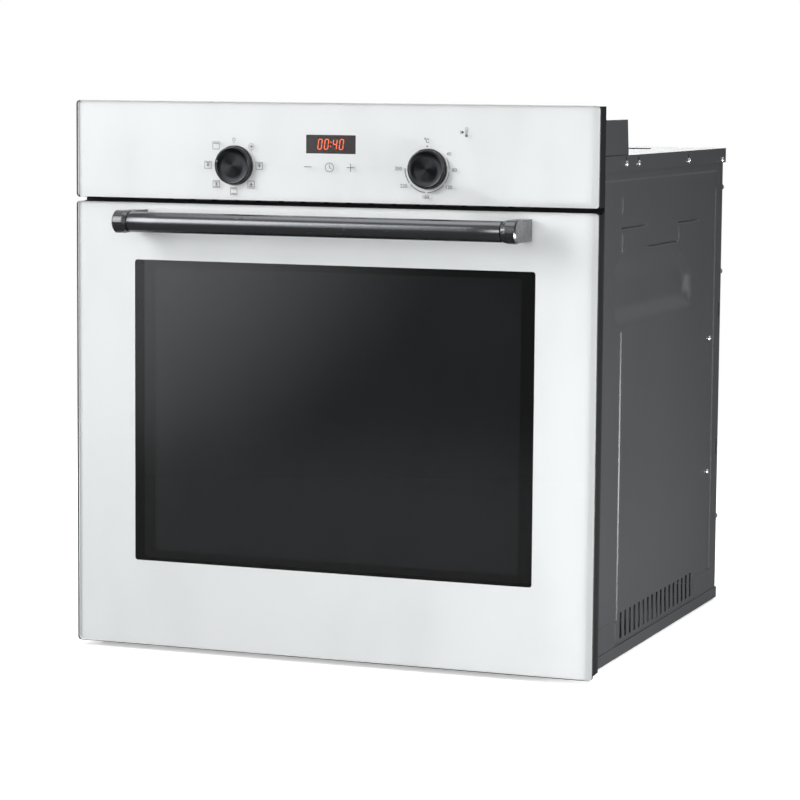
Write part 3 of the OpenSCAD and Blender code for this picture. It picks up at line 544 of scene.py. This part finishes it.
def box_in(y, z, y0, y1, z0, z1, r, w):
    """1 inside a rounded rectangle, 0 outside, over an edge w wide."""
    cy, cz, hy, hz = (y0 + y1) / 2, (z0 + z1) / 2, (y1 - y0) / 2 - r, (z1 - z0) / 2 - r
    dy, dz = abs(y - cy) - hy, abs(z - cz) - hz
    d = math.hypot(max(dy, 0), max(dz, 0)) + min(max(dy, dz), 0) - r
    return s01(0.5 - d / w)


BEADS = [(119, 42, 356), (503, 41, 496), (118, 484, 502), (120, 442, 461), (342, 446, 460)]
CREASES = [(119, 207, 467), (215, 340, 443), (344, 428, 464)]
CUTS = [(28, 114, 41), (441, 499, 41)]
VENTS = [137.5 + i * 284 / 16 for i in range(17)]
SLOTS = [341, 177]


def seg_d(y, z, y0, z0, y1, z1):
    ly, lz = y1 - y0, z1 - z0
    t = min(1, max(0, ((y - y0) * ly + (z - z0) * lz) / (ly * ly + lz * lz)))
    return math.hypot(y - y0 - t * ly, z - z0 - t * lz)


def wall_height(y, z):
    h = -1.2
    h += 1.2 * max(box_in(y, z, 24, 524, 40, 518, 9, 2.6), box_in(y, z, 118, 437, 15, 60, 5, 2.6))
    # hollow channel, its far end slanting away
    yr = 404 - 60 * s01((z - 396) / 44)
    up = s01((z - 362) / 22) if z < 393 else 1 - s01((z - 401) / 38)
    h -= 8.5 * up * s01((y - 92) / 22) * s01((yr - y) / 16)
    # the low lower panel between the beads
    h -= 0.35 * box_in(y, z, 121, 440, 30, 356, 4, 5)
    for b in BEADS:
        h += 1.5 * math.exp(-(seg_d(y, z, b[0], b[1], b[0], b[2]) / 1.5) ** 2)
    for c in CREASES:
        h -= 2.4 * math.exp(-(seg_d(y, z, c[0], c[2], c[1], c[2]) / 1.15) ** 2)
    for c in CUTS:
        h -= 1.6 * math.exp(-(seg_d(y, z, c[0], c[2], c[1], c[2]) / 1.0) ** 2)
    return h


def lines_at(lo, hi, step, marks):
    """Grid lines from lo to hi: the marks exactly, and none of the regular ones too near to a mark."""
    marks = sorted(set(round(m, 3) for m in marks if lo <= m <= hi) | {lo, hi})
    out = [marks[0]]
    for m in marks[1:]:
        if m - out[-1] < 0.3:
            continue
        n = max(1, math.ceil((m - out[-1]) / step))
        a = out[-1]
        out += [a + (m - a) * i / n for i in range(1, n + 1)]
    return out


def side_wall(side):
    ys = [24 + d for d in (-1.3, -0.6, 0, 0.6, 1.3)] + [524 + d for d in (-1.3, -0.6, 0, 0.6, 1.3)] + [92, 98, 103, 108, 114]
    ys += [437 - 1.3, 437 + 1.3] + [330 + 3.5 * i for i in range(22)] + [92 + 2.75 * i for i in range(9)]
    for b in (119, 503, 342):
        ys += [b + d for d in (-3.2, -2.2, -1.4, -0.7, 0, 0.7, 1.4, 2.2, 3.2)]
    for v in VENTS:
        ys += [v - 3.6, v + 3.6]
    ys += [531, 535.5, 539.3]
    zs = [40 + d for d in (-1.3, -0.6, 0, 0.6, 1.3)] + [518 + d for d in (-1.3, -0.6, 0, 0.6, 1.3)] + [15, 16.3, 19.5, 48]
    zs += [362 + 3.7 * i for i in range(7)] + [401 + 4.2 * i for i in range(10)]
    for c in (467, 443, 464):
        zs += [c + d for d in (-2.7, -1.8, -1.2, -0.6, 0, 0.6, 1.2, 1.8, 2.7)]
    zs += [41 + d for d in (-2.3, -1.7, -0.6, 0.5, 1.1, 1.8, 2.6)]
    for b in (356, 496, 484, 502, 461, 446):
        zs += [b - 1.4, b, b + 1.4, b + 2.6]
    zs += [341, 359, 177, 195]
    ys, zs = lines_at(0, 539.3, 20, ys), lines_at(13, 543.2, 20, zs)
    bm = bmesh.new()
    # the sheet's rear edge turns inwards
    turn = [(0.0, 0.75), (0.45, 1.5), (1.3, 2.1), (2.4, 2.45), (8, 2.5), (14.6, 2.5)]
    grid = []
    for i, y in enumerate(ys):
        grid.append([bm.verts.new((side * (280 + wall_height(y, z)) * MM, y * MM, z * MM)) for z in zs])
    for dx, dy in turn:
        lo = [13.0 + (0.0 if dx < 1 else 0.0)] * 0
        grid.append([bm.verts.new((side * (278.8 - dx) * MM, (539.3 + dy) * MM, z * MM)) for z in zs])
    hole_y = [(v - 3.6, v + 3.6) for v in VENTS]
    for i in range(len(grid) - 1):
        for j in range(len(zs) - 1):
            if i < len(ys) - 1:
                cy, cz = (ys[i] + ys[i + 1]) / 2, (zs[j] + zs[j + 1]) / 2
                if 19.5 < cz < 48 and any(a < cy < b for a, b in hole_y):
                    continue
                if 531 < cy < 535.5 and any(s < cz < s + 18 for s in SLOTS):
                    continue
            q = (grid[i][j], grid[i + 1][j], grid[i + 1][j + 1], grid[i][j + 1])
            bm.faces.new(q if side > 0 else q[::-1])
    name = "side_panel_right" if side > 0 else "side_panel_left"
    inner = {}
    # give the sheet its thickness, inwards
    bm.normal_update()
    for v in list(bm.verts):
        inner[v] = bm.verts.new(v.co - v.normal * 0.0011)
    rim = [e for e in bm.edges if len(e.link_faces) == 1]
    outer_faces = list(bm.faces)
    for f in outer_faces:
        bm.faces.new([inner[v] for v in reversed(f.verts)])
    for e in rim:
        f = e.link_faces[0]
        lp = next(l for l in f.loops if l.edge == e)
        a, b = lp.vert, lp.link_loop_next.vert
        bm.faces.new((b, a, inner[a], inner[b]))
    loose = [v for v in bm.verts if not v.link_faces]
    bmesh.ops.delete(bm, geom=loose, context="VERTS")
    piece(name + "_pressed", bm, [M["casing"]], "oven_body", (name,), 40)


side_wall(1)
side_wall(-1)


# ---------------------------------------------------------------- knobs
def knob(x, node, body):
    bm = bmesh.new()
    prof = [(3.05, -16.0), (3.05, -5.6), (4.4, -5.0), (17.6, -5.0), (17.9, -5.4), (18.2, -7.6), (19.9, -8.0), (20.25, -8.4),
            (20.25, -28.45), (20.1, -28.85), (19.35, -29.4), (19.0, -29.5), (18.35, -29.5), (18.15, -29.4), (17.95, -29.05), (17.8, -28.98),
            (12.0, -29.02), (6.0, -29.06), (2.0, -29.08), (0, -29.09)]
    prof = [(0, -16.0)] + prof
    mats = [0] * (len(prof) - 1)
    for k in range(len(prof) - 5, len(prof) - 1):
        mats[k] = 1
    lathe(bm, [(r, h + 17) for r, h in prof], 128, "y", mats=mats)
    return piece(node + "_turned", bm, [M["knob_body"], M["spun"]], body, (node,), 28, at=(x * MM, -0.017, 0.5305))


knob(-110, "function_knob", "function_knob")
knob(110, "temperature_knob", "temperature_knob")


# ---------------------------------------------------------------- printed signs on the glass
Y0, Y1 = -24.03, -23.99
INK = 0.74


def sq(bm, x, z, s=7.6, top=False, bottom=False, wave_top=False, wave_bottom=False, fan=False, w=INK):
    """An oven pictogram: a square with its element lines and fan."""
    h = s / 2
    line(bm, [(x - h, z - h), (x + h, z - h), (x + h, z + h), (x - h, z + h)], w * 0.62, Y0, Y1, closed=True)
    if top:
        line(bm, [(x - h + 1.0, z + h - 1.3), (x + h - 1.0, z + h - 1.3)], w, Y0, Y1)
    if bottom:
        line(bm, [(x - h + 1.0, z - h + 1.3), (x + h - 1.0, z - h + 1.3)], w, Y0, Y1)
    if wave_top:
        n = 5
        line(bm, [(x - h + 1.0 + (s - 2.0) * i / n, z + h - 1.1 - (0.9 if i % 2 else 0)) for i in range(n + 1)], w * 0.8, Y0, Y1)
    if wave_bottom:
        n = 5
        line(bm, [(x - h + 1.0 + (s - 2.0) * i / n, z - h + 1.1 + (0.9 if i % 2 else 0)) for i in range(n + 1)], w * 0.8, Y0, Y1)
    if fan:
        for a in (0, 90, 180, 270):
            p = arc(x, z, 1.7, a - 26, a + 26, 3)
            prism(bm, [(x, z)] + p[::-1], Y0, Y1, 1)
        dot(bm, x, z, 0.55, Y0 - 0.01, Y1, 12, 1)


def text_mesh(bm, body, size, x, z, mat=0):
    """Digits or a sign as a thin plate of print, centred on x and z; size is the height in millimetres."""
    cu = bpy.data.curves.new("t", "FONT")
    cu.body, cu.size, cu.align_x, cu.align_y = body, size / 0.72, "CENTER", "CENTER"
    cu.extrude, cu.resolution_u = 0.02, 4
    o = bpy.data.objects.new("t", cu)
    scene.collection.objects.link(o)
    dg = bpy.context.evaluated_depsgraph_get()
    me = bpy.data.meshes.new_from_object(o.evaluated_get(dg))
    tmp = bmesh.new()
    tmp.from_mesh(me)
    bmesh.ops.remove_doubles(tmp, verts=tmp.verts, dist=1e-4)
    xs = [v.co.x for v in tmp.verts]
    ys = [v.co.y for v in tmp.verts]
    cx, cy = (min(xs) + max(xs)) / 2, (min(ys) + max(ys)) / 2
    made = {v: bm.verts.new(((v.co.x - cx + x) * MM, ((Y0 + Y1) / 2 - v.co.z) * MM, (v.co.y - cy + z) * MM)) for v in tmp.verts}
    for f in tmp.faces:
        g = bm.faces.new([made[v] for v in f.verts])
        g.material_index = mat
    tmp.free()
    bpy.data.objects.remove(o)
    bpy.data.curves.remove(cu)
    bpy.data.meshes.remove(me)


def function_signs():
    bm = bmesh.new()
    c, k = -110, 530.5
    far = (27.6, 28.8, 29.6, 28.6, 27.6, 28.8, 30.2, 29.4)
    at = [(c + r * math.sin(math.radians(45 * i)), k + r * math.cos(math.radians(45 * i))) for i, r in enumerate(far)]
    # off mark
    line(bm, arc(at[0][0], at[0][1], 1.5, 0, 350, 14)[:-1], 0.5, Y0, Y1, closed=True)
    dot(bm, at[0][0], at[0][1] - 3.3, 0.55, Y0, Y1, 12)
    # fan with a drop
    x, z = at[1]
    line(bm, arc(x, z, 3.2, 0, 348, 24)[:-1], 0.42, Y0, Y1, closed=True)
    for a in (0, 90, 180, 270):
        prism(bm, [(x, z)] + arc(x, z, 1.7, a - 26, a + 26, 3)[::-1], Y0, Y1, 1)
    dot(bm, x, z, 0.55, Y0 - 0.01, Y1, 12, 1)
    line(bm, [(x - 1.2, z - 5.2), (x, z - 4.1), (x + 1.2, z - 5.2)], 0.42, Y0, Y1)
    sq(bm, *at[2], wave_top=True, fan=True)
    sq(bm, *at[3], wave_bottom=True, fan=True, bottom=False)
    sq(bm, *at[4], top=True, bottom=True)
    sq(bm, *at[5], wave_top=True, bottom=True, fan=True)
    sq(bm, *at[6], top=True, fan=True)
    sq(bm, *at[7], wave_top=True, top=False)
    piece("function_signs", bm, [M["ink"], M["ink_dark"]], "oven_body")


def temperature_signs():
    bm = bmesh.new()
    c, k = 110, 530.5
    # degree sign with C, and the zero dot
    line(bm, arc(c - 2.4, k + 31.6, 0.8, 0, 345, 12)[:-1], 0.5, Y0, Y1, closed=True, mat=1)
    line(bm, arc(c + 0.5, k + 29.4, 1.9, 50, -230, 14), 0.6, Y0, Y1, mat=1)
    dot(bm, c, k + 23.6, 0.9, Y0, Y1, 14, 1)
    for a, t in ((56, "40"), (91, "80"), (127, "120"), (182, "180"), (235, "220"), (270, "250")):
        rr = {56: 29.0, 91: 30.4, 127: 30.8, 182: 29.2, 235: 31.4, 270: 32.0}[a]
        text_mesh(bm, t, 3.9, c + rr * math.sin(math.radians(a)), k + rr * math.cos(math.radians(a)), 1)
    for a0, a1 in ((62, 89), (97, 126), (131, 178), (184, 228), (232, 271)):
        pts = arc(c, k, 24.5, a0, a1, 14)
        n = len(pts) - 1
        for i in range(n):
            w = 0.42 + 0.60 * (a0 + (a1 - a0) * (i + 0.5) / n - 57) / 215
            line(bm, [pts[i], pts[i + 1]], w, Y0, Y1)
    piece("temperature_signs", bm, [M["ink"], M["ink_dark"]], "oven_body")


def key_signs():
    bm = bmesh.new()
    w = 0.75
    line(bm, [(-28.7, 530.4), (-20.3, 530.4)], w, Y0, Y1)
    line(bm, arc(0.2, 530.2, 4.7, 0, 352, 36)[:-1], 0.6, Y0, Y1, closed=True)
    line(bm, [(0.2, 533.4), (0.2, 530.0), (2.7, 528.9)], 0.55, Y0, Y1)
    line(bm, [(24.2 - 4.2, 530.4), (24.2 + 4.2, 530.4)], w, Y0, Y1)
    line(bm, [(24.2, 526.2), (24.2, 530.4 - w / 2)], w, Y0, Y1)
    line(bm, [(24.2, 530.4 + w / 2), (24.2, 534.6)], w, Y0, Y1)
    # thermometer beside the lamp
    x, z = 153.2, 569.4
    line(bm, [(x - 0.9, z - 2.4), (x - 0.9, z + 4.2), (x, z + 5.0), (x + 0.9, z + 4.2), (x + 0.9, z - 2.4)], 0.4, Y0, Y1)
    line(bm, [(x, z - 2.2), (x, z + 2.6)], 0.5, Y0, Y1)
    dot(bm, x, z - 3.7, 1.6, Y0, Y1, 20)
    for i in range(3):
        line(bm, [(x + 1.3, z + 3.4 - 1.7 * i), (x + 2.4, z + 3.4 - 1.7 * i)], 0.36, Y0, Y1)
    # dark ring round the indicator's hole
    line(bm, arc(147.4, 569.2, 1.25, 0, 350, 28)[:-1], 0.5, Y0, Y1, closed=True, mat=1)
    piece("key_signs", bm, [M["ink"], M["ink_dark"]], "oven_body")


def indicator():
    """The lens behind the glass, domed."""
    bm = bmesh.new()
    lathe(bm, [(0, -2.98), (0.5, -2.95), (0.9, -2.8), (1.15, -2.5), (1.2, -2.2), (1.2, 1.6), (3.9, 1.7), (4.0, 1.9), (4.0, 5.0), (0, 5.0)], 40, "y")
    piece("indicator_lens_domed", bm, [M["lens"]], "oven_body", ("indicator_lens",), 40, at=(0.1474, -0.017, 0.5692))


SEG = {"0": "abcdef", "4": "fgbc"}


def digit(bm, ch, x, z, w, h, t, slant, y0, y1, lit):
    hw, hh = w / 2, h / 2
    bars = {"a": ((-hw, hh), (hw, hh)), "g": ((-hw, 0), (hw, 0)), "d": ((-hw, -hh), (hw, -hh)),
            "f": ((-hw, 0), (-hw, hh)), "b": ((hw, 0), (hw, hh)), "e": ((-hw, -hh), (-hw, 0)), "c": ((hw, -hh), (hw, 0))}
    for s, (p, q) in bars.items():
        on = s in SEG[ch]
        if on != lit:
            continue
        p, q = Vector(p), Vector(q)
        d = (q - p).normalized()
        n = Vector((-d.y, d.x)) * t / 2
        g = t * 0.22
        p, q = p + d * g, q - d * g
        pts = [p, p + d * t / 2 - n, q - d * t / 2 - n, q, q - d * t / 2 + n, p + d * t / 2 + n]
        prism(bm, [(x + v.x + slant * v.y, z + v.y) for v in pts], y0, y1, 0 if lit else 1)


def display():
    """The digits lie in the window of the print, behind the glass."""
    bm = bmesh.new()
    y0, y1 = -19.75, -19.58
    z, h, w = 554.4, 10.4, 5.0
    # segments that are off take the painted glow material
    for lit in (True, False):
        for i, (ch, x) in enumerate(zip("0040", (-12.4, -5.0, 4.6, 12.0))):
            digit(bm, ch, x, z, w - 0.9, h, 0.95, 0.12, y0, y1, lit)
    for dz in (2.2, -2.2):
        x = -0.2 + 0.12 * dz
        prism(bm, [(x - 0.55, z + dz - 0.55), (x + 0.55, z + dz - 0.55), (x + 0.55, z + dz + 0.55), (x - 0.55, z + dz + 0.55)], y0, y1, 0)
    piece("display_digits", bm, [M["digits"], M["ghost"]], "oven_body")


function_signs()
temperature_signs()
key_signs()
indicator()
display()


# ---------------------------------------------------------------- handle
def handle():
    lo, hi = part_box("handle_bar")
    half = hi.x * 1000
    bm = bmesh.new()
    r = 11.0
    prof = [(0, -half), (9.2, -half), (10.0, -half + 0.1), (10.7, -half + 0.45), (r, -half + 1.1)]
    n = 12
    prof += [(r, -half + 1.1 + (2 * half - 2.2) * i / n) for i in range(1, n)]
    prof += [(r, half - 1.1), (10.7, half - 0.45), (10.0, half - 0.1), (9.2, half), (0, half)]
    lathe(bm, prof, 96, "x")
    c = (lo + hi) / 2
    piece("handle_bar_turned", bm, [M["bar"]], "door", ("handle_bar",), 32, at=(0, c.y, c.z))


handle()


# ---------------------------------------------------------------- screws
def screw_head(bm, co, out, r=3.3, h=1.6, turn=0.3):
    """A pan head with a cross recess. co is the middle of its seat, out its direction."""
    out = Vector(out)
    q = out.to_track_quat("Z", "Y").to_matrix()
    n = 32
    prof = [(r, 0), (r, 0.25 * h), (r * 0.96, 0.5 * h), (r * 0.82, 0.78 * h), (r * 0.6, 0.95 * h)]
    arm, wid, deep = r * 0.56, r * 0.13, 0.45 * h
    rings = [[bm.verts.new(Vector(co) + q @ Vector((a * math.cos(2 * math.pi * i / n) * MM, a * math.sin(2 * math.pi * i / n) * MM, b * MM))) for i in range(n)] for a, b in prof]
    for k in range(len(rings) - 1):
        for i in range(n):
            bm.faces.new((rings[k][i], rings[k][(i + 1) % n], rings[k + 1][(i + 1) % n], rings[k + 1][i]))
    # top face with a cross-shaped well: 12 corners
    base = [(arm, wid), (wid, wid), (wid, arm), (-wid, arm), (-wid, wid), (-arm, wid), (-arm, -wid), (-wid, -wid), (-wid, -arm), (wid, -arm), (wid, -wid), (arm, -wid)]
    ca, sa = math.cos(turn), math.sin(turn)
    pts = [(x * ca - y * sa, x * sa + y * ca) for x, y in base]
    top = [bm.verts.new(Vector(co) + q @ Vector((x * MM, y * MM, h * MM))) for x, y in pts]
    low = [bm.verts.new(Vector(co) + q @ Vector((x * 0.8 * MM, y * 0.8 * MM, (h - deep) * MM))) for x, y in pts]
    for i in range(12):
        j = (i + 1) % 12
        bm.faces.new((top[i], top[j], low[j], low[i]))
    bm.faces.new(low[::-1])
    # bridge the rim and the cross: each rim vertex goes to the nearest cross corner by angle
    rim = rings[-1]
    ang = [math.atan2(y, x) % (2 * math.pi) for x, y in pts]
    order = sorted(range(12), key=lambda i: ang[i])
    near = []
    for i in range(n):
        a = 2 * math.pi * i / n
        near.append(min(range(12), key=lambda k: abs((ang[order[k]] - a + math.pi) % (2 * math.pi) - math.pi)))
    for i in range(n):
        a, b = near[i], near[(i + 1) % n]
        if a == b:
            bm.faces.new((rim[i], rim[(i + 1) % n], top[order[a]]))
        else:
            k = a
            bm.faces.new((rim[i], rim[(i + 1) % n], top[order[b]]))
            while k != b:
                k2 = (k + 1) % 12
                bm.faces.new((rim[i], top[order[k2]], top[order[k]]))
                k = k2
    bmesh.ops.recalc_face_normals(bm, faces=bm.faces)


LAP = [(128, 535.5), (175, 535), (378, 533), (529, 531)]
WALL = [(488, 320), (489, 160)]
REAR = [100, 397, 498]


def casing_screws():
    bm = bmesh.new()
    k = 0
    for s in (1, -1):
        for y, z in LAP:
            screw_head(bm, (s * 0.2812, y * MM, z * MM), (s, 0, 0), turn=0.3 + 0.7 * k)
            k += 1
        for y, z in WALL:
            screw_head(bm, (s * 0.2800, y * MM, z * MM), (s, 0, 0), turn=0.3 + 0.7 * k)
            k += 1
        for z in REAR:
            screw_head(bm, (s * 0.2768, 0.5418, z * MM), (0, 1, 0), h=3.1, turn=0.3 + 0.7 * k)
            k += 1
    piece("casing_screw_heads", bm, [M["screw"]], "oven_body", ("casing_screws",), 30)
    # spare holes above the screws in the lap, drawn as shallow black dishes: the black is painted shade standing for
    # the dark inside of the holes
    bm = bmesh.new()
    for s in (1, -1):
        for y, z in LAP[:3]:
            n = 20
            ring = []
            for r, x in ((2.1, 281.2), (1.9, 281.27), (1.6, 281.24), (1.5, 281.21), (0, 281.21)):
                if r:
                    ring.append([bm.verts.new((s * x * MM, (y - 2.0 + r * math.cos(2 * math.pi * i / n)) * MM, (z + 5.6 + r * math.sin(2 * math.pi * i / n)) * MM)) for i in range(n)])
                else:
                    ring.append([bm.verts.new((s * x * MM, (y - 2.0) * MM, (z + 5.6) * MM))])
            for a, b in zip(ring, ring[1:]):
                for i in range(n):
                    j = (i + 1) % n
                    bm.faces.new((a[i], a[j], b[0]) if len(b) == 1 else (a[i], a[j], b[j], b[i]))
    piece("lap_holes", bm, [M["black_plastic"]], "oven_body", (), 30)


casing_screws()


# ---------------------------------------------------------------- broken edges on the carried-over pieces
sheet_glass("control_panel_glass", 4.0, [(-110, 530.5, 20.95), (110, 530.5, 20.95)])
sheet_glass("door_outer_glass", 4.0, [(s * 219, 469.8 + d, 2.3) for s in (-1, 1) for d in (-7, 3)])
sheet_glass("door_inner_glass", 5.0, edge=0.6)
for node, width in (("control_panel_frame", 0.3), ("door_columns", 0.3),
                    ("control_housing", 0.25), ("top_cover", 0.25), ("front_frame", 0.2), ("handle_brackets", 0.35),
                    ("door_top_trim", 0.3), ("door_bottom_trim", 0.3), ("terminal_cover", 0.3),
                    ("rear_cover", 0.15), ("base_tray", 0.2)):
    refine(node, width)


# ---------------------------------------------------------------- stage and light
def floor():
    bm = bmesh.new()
    n = 96
    rings = [[bm.verts.new((r * math.cos(2 * math.pi * i / n), r * math.sin(2 * math.pi * i / n), -0.0025)) for i in range(n)] for r in (0.7, 1.2, 1.8, 2.7)]
    c = bm.verts.new((0, 0, -0.0025))
    for i in range(n):
        bm.faces.new((c, rings[0][i], rings[0][(i + 1) % n]))
        for a, b in zip(rings, rings[1:]):
            bm.faces.new((a[i], b[i], b[(i + 1) % n], a[(i + 1) % n]))
    me = bpy.data.meshes.new("floor")
    bm.to_mesh(me)
    bm.free()
    m = Mat("floor")
    a = m.noise(6, 4)
    seen = m.n("LightPath").outputs["Is Camera Ray"]
    pale = m.mixc(a, (0.93, 0.93, 0.93), (0.95, 0.95, 0.95))
    lit = m.bsdf(Base_Color=m.mixc(seen, (0.15, 0.15, 0.15), pale), Roughness=0.8, Specular_IOR_Level=0.0,
                 Emission_Color=(1, 1, 1), Emission_Strength=m.math("MULTIPLY", seen, 0.42))
    sep = m.n("SeparateXYZ", {"Vector": m.obj})
    far = m.math("SQRT", m.math("ADD", m.math("POWER", sep.outputs[0], 2.0), m.math("POWER", sep.outputs[1], 2.0)))
    away = m.n("BsdfTransparent", {"Color": (1, 1, 1)}).outputs[0]
    me.materials.append(m.done(m.n("MixShader", {0: m.remap(far, 0.9, 2.6, 0, 1, True), 1: lit, 2: away}).outputs[0]))
    o = bpy.data.objects.new("floor", me)
    scene.collection.objects.link(o)


floor()


def lamp(name, loc, target, size, power, color=(1, 1, 1)):
    d = bpy.data.lights.new(name, "AREA")
    d.shape, d.size, d.size_y, d.energy, d.color = "RECTANGLE", size[0], size[1], power, color
    o = bpy.data.objects.new(name, d)
    scene.collection.objects.link(o)
    o.location = loc
    o.visible_camera = False
    o.rotation_euler = (Vector(target) - Vector(loc)).to_track_quat("-Z", "Y").to_euler()


lamp("key", (-1.75, -2.05, 1.5), (0, 0, 0.35), (1.6, 1.6), 52)
lamp("front", (0.9, -3.3, 0.85), (0, 0, 0.3), (1.8, 1.3), 37)
lamp("fill", (1.12, -0.03, 0.10), (0.28, 0.14, 0.1), (0.8, 0.17), 28)
lamp("back", (-0.9, 2.6, 1.5), (0, 0.5, 0.3), (1.6, 1.2), 30)
lamp("side", (2.3, 1.3, 0.35), (0.28, 0.25, 0.3), (0.5, 0.6), 3.5)
lamp("top", (0, 0.4, 3.4), (0, 0.2, 0), (3.0, 3.0), 50)

world = bpy.data.worlds.new("world")
scene.world = world
world.use_nodes = True
wt = world.node_tree
wt.nodes.clear()
w_out = wt.nodes.new("ShaderNodeOutputWorld")
w_mix = wt.nodes.new("ShaderNodeMixShader")
w_cam = wt.nodes.new("ShaderNodeBackground")
w_amb = wt.nodes.new("ShaderNodeBackground")
w_lp = wt.nodes.new("ShaderNodeLightPath")
w_cam.inputs[0].default_value, w_cam.inputs[1].default_value = (1, 1, 1, 1), 1.0

def wn(kind, ins=(), **props):
    nd = wt.nodes.new("ShaderNode" + kind)
    for k, v in props.items():
        setattr(nd, k, v)
    for i, v in enumerate(ins):
        if isinstance(v, bpy.types.NodeSocket):
            wt.links.new(v, nd.inputs[i])
        elif v is not None:
            nd.inputs[i].default_value = v
    return nd


# soft room: bright overhead, dim at the horizon, and a small glow at the front left
w_dir = wn("TexCoord").outputs["Generated"]
w_up = wn("SeparateXYZ", [w_dir]).outputs[2]
w_high = wn("MapRange", [w_up, 0.0, 0.9, 0.10, 0.50], interpolation_type="SMOOTHSTEP").outputs[0]
w_dot = wn("VectorMath", [w_dir, (-0.529, -0.847, 0.052)], operation="DOT_PRODUCT").outputs["Value"]
w_glow = wn("MapRange", [w_dot, 0.9703, 0.9945, 0.0, 1.2], interpolation_type="SMOOTHSTEP").outputs[0]
w_dot2 = wn("VectorMath", [w_dir, (0.39, 0.80, 0.455)], operation="DOT_PRODUCT").outputs["Value"]
w_back = wn("MapRange", [w_dot2, 0.88, 0.985, 0.0, 0.40], interpolation_type="SMOOTHSTEP").outputs[0]
w_sum = wn("Math", [wn("Math", [w_high, w_glow], operation="ADD").outputs[0], w_back], operation="ADD").outputs[0]
w_amb.inputs[0].default_value = (0.97, 0.985, 1, 1)
wt.links.new(w_sum, w_amb.inputs[1])
wt.links.new(w_lp.outputs["Is Camera Ray"], w_mix.inputs[0])
wt.links.new(w_amb.outputs[0], w_mix.inputs[1])
wt.links.new(w_cam.outputs[0], w_mix.inputs[2])
wt.links.new(w_mix.outputs[0], w_out.inputs[0])

# the real coil springs shorten with the rods; a plain copy of their mesh, on the same body and just as rigid, stands in
# for the CAD node
_src = bpy.data.objects["hinge_springs"]
_coils = bpy.data.objects.new("hinge_spring_coils", _src.data.copy())
bpy.context.scene.collection.objects.link(_coils)
_coils.matrix_world = _src.matrix_world.copy()
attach(_coils, _src.parent.name.split(":")[-1])
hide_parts("hinge_springs")
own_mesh(_coils)
